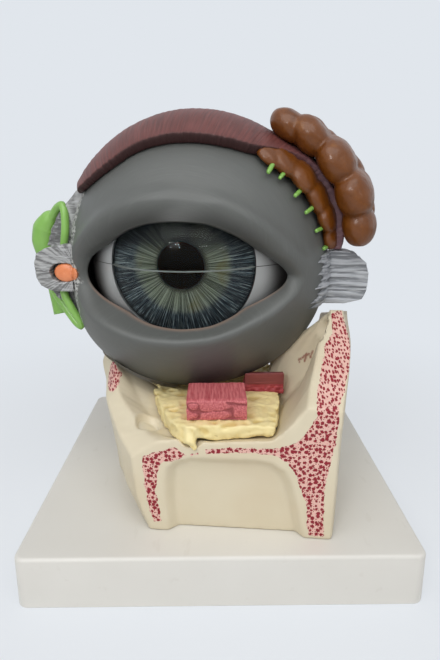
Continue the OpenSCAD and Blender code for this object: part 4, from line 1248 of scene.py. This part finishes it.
# clock angle, distance and half length of the lobes behind the upper row
hind_lobes = [(41, 85, 10), (51, 89.4, 10), (62, 92.6, 11), (73, 92.6, 10)]


def lobe_row(centres, form, paired):
    """What lobes needs for a row; a paired lobe is split by a furrow along the row."""
    rows = []
    for p, long, slant, proud in centres:
        t, half_t, r, half_r = (straight_curve(table, p) for table in form)
        for side in (-1, 1) if paired else (0,):
            wide = math.radians(half_t) * r * (0.66 if paired else 1.0)
            rows.append((p, t + side * half_t * 0.36, r + proud, long, wide, half_r * 0.98,
                         slant if side <= 0 else 0))
    return rows


def gland_finish(place):
    tint, blotch = grain(place, 0.006, 4), grain(place, 0.014, 3)
    colour = tinted(tint, paint(90, 46, 8), paint(120, 68, 17))
    colour = tinted(fade(blotch, 0.55, 0.75) * 0.5, colour, paint(60, 30, 8))
    colour = tinted(fade(tint, 0.6, 0.78) * 0.5, colour, paint(134, 86, 38))
    return {"Base Color": colour, "Roughness": 0.3 + blotch * 0.16,
            "Normal": relief(grain(place, 0.003, 4), 0.00035)}


gland_brown = finish("gland", gland_finish, Coat_Weight=0.2, Coat_Roughness=0.15, Specular_IOR_Level=0.35)
upper_rows = lobe_row(upper_lobes, upper_form, True) + [(p, 92, r, long, 9, 6, 10) for p, r, long in hind_lobes]
dress(lobes("gland_upper_row", upper_rows), "lids", "gland", gland_brown, "lacrimal_gland_orbital")
lower_rows = lobe_row(lower_lobes, lower_form, False)
dress(lobes("gland_lower_row", lower_rows), "lids", "gland", gland_brown, "lacrimal_gland_palpebral")


duct_d = 2.0
# tilt and clock of each duct's upper end and of its lower end
duct_spans = [(59.6, 41.3, 54.2, 42.8), (62, 47.4, 57, 48.2), (65.2, 57.4, 58.6, 58.4),
              (67.6, 66.3, 60.6, 67.2), (71.7, 76.2, 64.6, 76.4), (77, 84.4, 71, 85)]


def ducts():
    made = []
    for t0, p0, t1, p1 in duct_spans:
        path = [polar(72.6 - 1.0 * f - 0.4 * (1 - f) * f, t0 + 1.5 + (t1 - t0 - 1.5) * f, p0 + (p1 - p0) * f)
                for f in (0, 0.33, 0.66, 1)]
        thick = duct_d * 0.56 * (1 + 0.1 * math.sin(7 * p0))
        made.append(tube(path, [thick, thick, thick, thick * 0.9], 14))
    return placed("green_ducts", rings_mesh("green_ducts", made))


def green_finish(place):
    tint = grain(place, 0.007, 3)
    return {"Base Color": tinted(tint, paint(116, 166, 70), paint(138, 188, 92)),
            "Roughness": 0.3 + tint * 0.08, "Normal": relief(grain(place, 0.003, 2), 0.0001)}


duct_green = finish("duct_green", green_finish, Coat_Weight=0.3, Coat_Roughness=0.15)
dress(ducts(), "lids", "duct_green", duct_green, "gland_ducts")

# ---- Ligaments at the corners ----
# Blocks cast with the lids, brushed white over grey so that their ridges stand out. The
# outer one has level ridges that run out on the lid in ragged roots; the inner one is a
# plate with a recess for the pink body of the corner.

# height, how far out the tip lies, and half the thickness of each tooth
teeth = [(2.4, 65.6, 1.5), (-0.2, 64.2, 1.7), (-3.2, 66.4, 1.5), (-6.4, 64.6, 1.9), (-9.8, 66.2, 1.6),
         (-13.2, 63.6, 2.0), (-16.8, 64.8, 1.8), (-20.2, 61.4, 1.9), (-23.0, 60.4, 1.4)]
tooth_root, lid_side = 72.5, 70.3
# outlines in x and z of the thin webs, with their front and back faces
webs = [([(-76.5, 6), (-65, 6.5), (-64.5, 25), (-68.5, 23.5), (-73, 15)], -29.5, -26.5),
        ([(-76.5, -14), (-62, -15), (-56, -33), (-59, -34.5), (-66, -27), (-72, -21)], -32.0, -28.5),
        ([(-66.5, 6.5), (-59, 6), (-57, 20), (-53.5, 33.5), (-57.5, 34.5), (-63.5, 28), (-65.5, 25)],
         -31.0, -27.0)]
fan_at = (-56, -5)


def carve(piece, local_shape):
    """Moves the points of a piece by a shape given in the eye's own frame."""
    local = turned(points_of(piece) - eye_at, -eye_turn)
    local, marks = local_shape(local, turned(normals_of(piece), -eye_turn))
    set_points(piece, to_world(local), marks)


def on_lid(x, z, proud):
    """The point over x and z that stands proud of the lids' outside by that much."""
    r = float(lid_out(np.array([math.degrees(math.atan2(x, z))]))[0]) + proud
    return (x, -math.sqrt(max(r * r - x * x - z * z, 1.0)), z)


def tooth(z, tip, width):
    path = []
    for f in (1.0, 0.7, 0.5, 0.3, 0.15, 0.0):
        x = tip + (tooth_root - tip) * f
        over_lid = on_lid(x, z + 0.3 * math.sin(9 * f + z), 0.1 + 0.5 * f) if x < lid_side else None
        path.append(over_lid or (x, -13.8, z))
    return tube(path, [width, width, width, width * 0.8, width * 0.5, 0.3], 12, 1.0, 3, 3)


def outer_ligament():
    """The block with a comb of teeth that laps over the lid."""
    comb = rings_mesh("ligament_teeth", [tooth(*numbers) for numbers in teeth])
    made = recast("outer_ligament", joined("ligament_raw", nodes["lateral_ligament"].data, comb), 0.42, 3)

    def ridged(q, n):
        wave = q[:, 2] + 0.9 * value_noise(q * (0.2, 0.2, 0.1), 2.5, 61)
        ridge = value_noise(np.stack([q[:, 0] * 0.05, q[:, 1] * 0.1, wave * 1.05], axis=1), 1.0, 62)
        blank = soft_step(-np.abs(n[:, 0]), -0.95, -0.6)
        return q + n * (0.62 * (ridge - 0.3) * (0.3 + 0.7 * blank))[:, None], {"ridge": ridge}

    carve(made, ridged)
    return made


def slab(outline, y0, y1):
    """A flat plate: an outline in x and z, from y0 back to y1, in the eye's own frame."""
    return mesh_of("slab", to_world([[(x, y, z) for x, z in outline[::-1]] for y in (y0, y1)]))


def inner_ligament():
    """The plate with the thin webs that fill the angles between the sac and its canals."""
    raw = joined("plate_raw", nodes["medial_ligament"].data, *(slab(*web) for web in webs))
    made = recast("inner_ligament", raw, 0.45, 4)

    def ridged(q, n):
        x, z = q[:, 0] - fan_at[0], q[:, 2] - fan_at[1]
        way = np.stack([np.degrees(np.arctan2(z, x)) * 0.5, q[:, 1] * 0.2, np.hypot(x, z) * 0.12], axis=1)
        ridge = 0.6 * value_noise(way, 1.0, 71)
        web = np.maximum(soft_step(q[:, 2], 7.4, 8.6) * soft_step(-q[:, 0], 62.5, 65),
                         soft_step(-q[:, 2], 15.6, 16.8))
        rough = value_noise(q, 1.1, 72)
        push = 0.3 * (ridge - 0.4) * (1 - web) + 0.35 * rough * web
        return q + n * push[:, None], {"ridge": ridge * (1 - web) - web * (0.7 - 1.1 * np.maximum(rough, 0))}

    carve(made, ridged)
    return made


def ligament_finish(way, low, high):
    def build(place):
        hairs = grain(place, 0.0009, 3, way)
        top = fade(mark(place, "ridge") + (hairs - 0.5) * 1.3, -0.5, 0.45)
        colour = tinted(fade(hairs, 0.52, 0.72) * 0.45, tinted(top, low, high), paint(196, 198, 200))
        return {"Base Color": colour, "Roughness": 0.46 + hairs * 0.15, "Normal": relief(hairs, 0.0003)}
    return build


outer_grey = finish("outer_ligament", ligament_finish((9, 3, 1), paint(114, 117, 121), paint(178, 181, 186)))
dress(outer_ligament(), "lids", "ligament", outer_grey, "lateral_ligament")
inner_grey = finish("inner_ligament", ligament_finish((6, 1, 0.9), paint(104, 104, 104), paint(170, 171, 171)))
dress(inner_ligament(), "lids", "ligament", inner_grey, "medial_ligament")


def corner_body():
    """An oval pad that lies over the joint of the plate and the lids, a little sunk at its outer end."""
    rings, around = 14, 48
    top = []
    for share in (math.sin(math.radians(90 * k / rings)) for k in range(rings + 1)):
        for a in np.linspace(0, 2 * math.pi, around, endpoint=False):
            u, v = share * math.cos(a), share * math.sin(a)
            x = -63.4 + (8.4 if u > 0 else 6.0) * u
            z = -6.4 + 4.7 * v
            lid = on_lid(max(x, -68.5), z, 0.0)[1]
            front = min(lid, -39.8 if x < -59.5 else 0.0)
            front += 0.7 * max(0.0, -u) + 0.1
            top.append((x, front - 0.9 * math.sqrt(max(0.0, 1 - share * share)) + 0.9 * share ** 6, z))
    top = np.array(top).reshape(rings + 1, around, 3)
    loop = np.concatenate([top, top[-1:] + (0, 2.5, 0)])
    return mesh_piece("corner_body", to_world(loop[::-1]))


corner_pink = finish("caruncle", streaked(0.003, 3, (1, 1, 1), paint(208, 112, 66), paint(236, 150, 100),
                                          0.3, 0.1), Coat_Weight=0.3)
dress(corner_body(), "lids", "caruncle", corner_pink, "caruncle")

# ---- Tear sac and its canals ----
# A smooth green sac behind the inner plate, with a duct down from it that ends in a flat
# cut, and two canals that curve from it to the lids.

sac_path = [(-73.0, -24, 21.8), (-76.2, -23, 19.6), (-79.4, -22, 14.6), (-80.6, -21.6, 8), (-79.5, -21.4, 1),
            (-78.3, -21.2, -7), (-77, -21, -14)]
sac_radii = (2.8, 4.8, 6.8, 7.0, 6.4, 5.4, 5)
canal_d = 3.4


upper_path = [(-75.5, -23.6, 19.5), (-72.6, -25, 22.6), (-69.6, -27.2, 25.6), (-66.4, -29.4, 27.0),
              (-64.6, -31, 23.6), (-64.2, -32, 18), (-64.4, -32.8, 13), (-65.4, -33, 7.6)]
upper_radii = [canal_d * k for k in (0.8, 0.75, 0.66, 0.6, 0.6, 0.6, 0.6, 0.55)]
lower_path = [(-76.8, -27, -14), (-73.5, -29, -19.5), (-68, -31.6, -26), (-61.5, -34.2, -33.5),
              (-58.6, -35, -35.6), (-58.6, -35.4, -33), (-62.6, -35.2, -26.5), (-66.2, -34.4, -20),
              (-67.6, -33.4, -15)]
lower_radii = [canal_d * k for k in (0.6, 0.66, 0.66, 0.62, 0.56, 0.56, 0.62, 0.62, 0.6)]
nose_path = [(-77, -21.1, -13), (-76.2, -21.6, -19), (-75, -22.4, -25), (-73.6, -23.2, -31.6)]
nose_radii = (4.9, 4.7, 4.6, 4.8)


def green_tube(name, path, radii, replaced, flat=1.0, caps=6):
    rings = tube(path, radii, 36, flat, 8, caps)
    dress(placed(name, rings_mesh(name, [rings])), "lids", "duct_green", duct_green, replaced)


green_tube("tear_sac", sac_path, sac_radii, "lacrimal_sac", 0.84)
green_tube("nose_duct", nose_path, nose_radii, "nasolacrimal_duct", 0.84, 1)
green_tube("upper_canal", upper_path, upper_radii, "upper_canaliculus")
green_tube("lower_canal", lower_path, lower_radii, "lower_canaliculus")
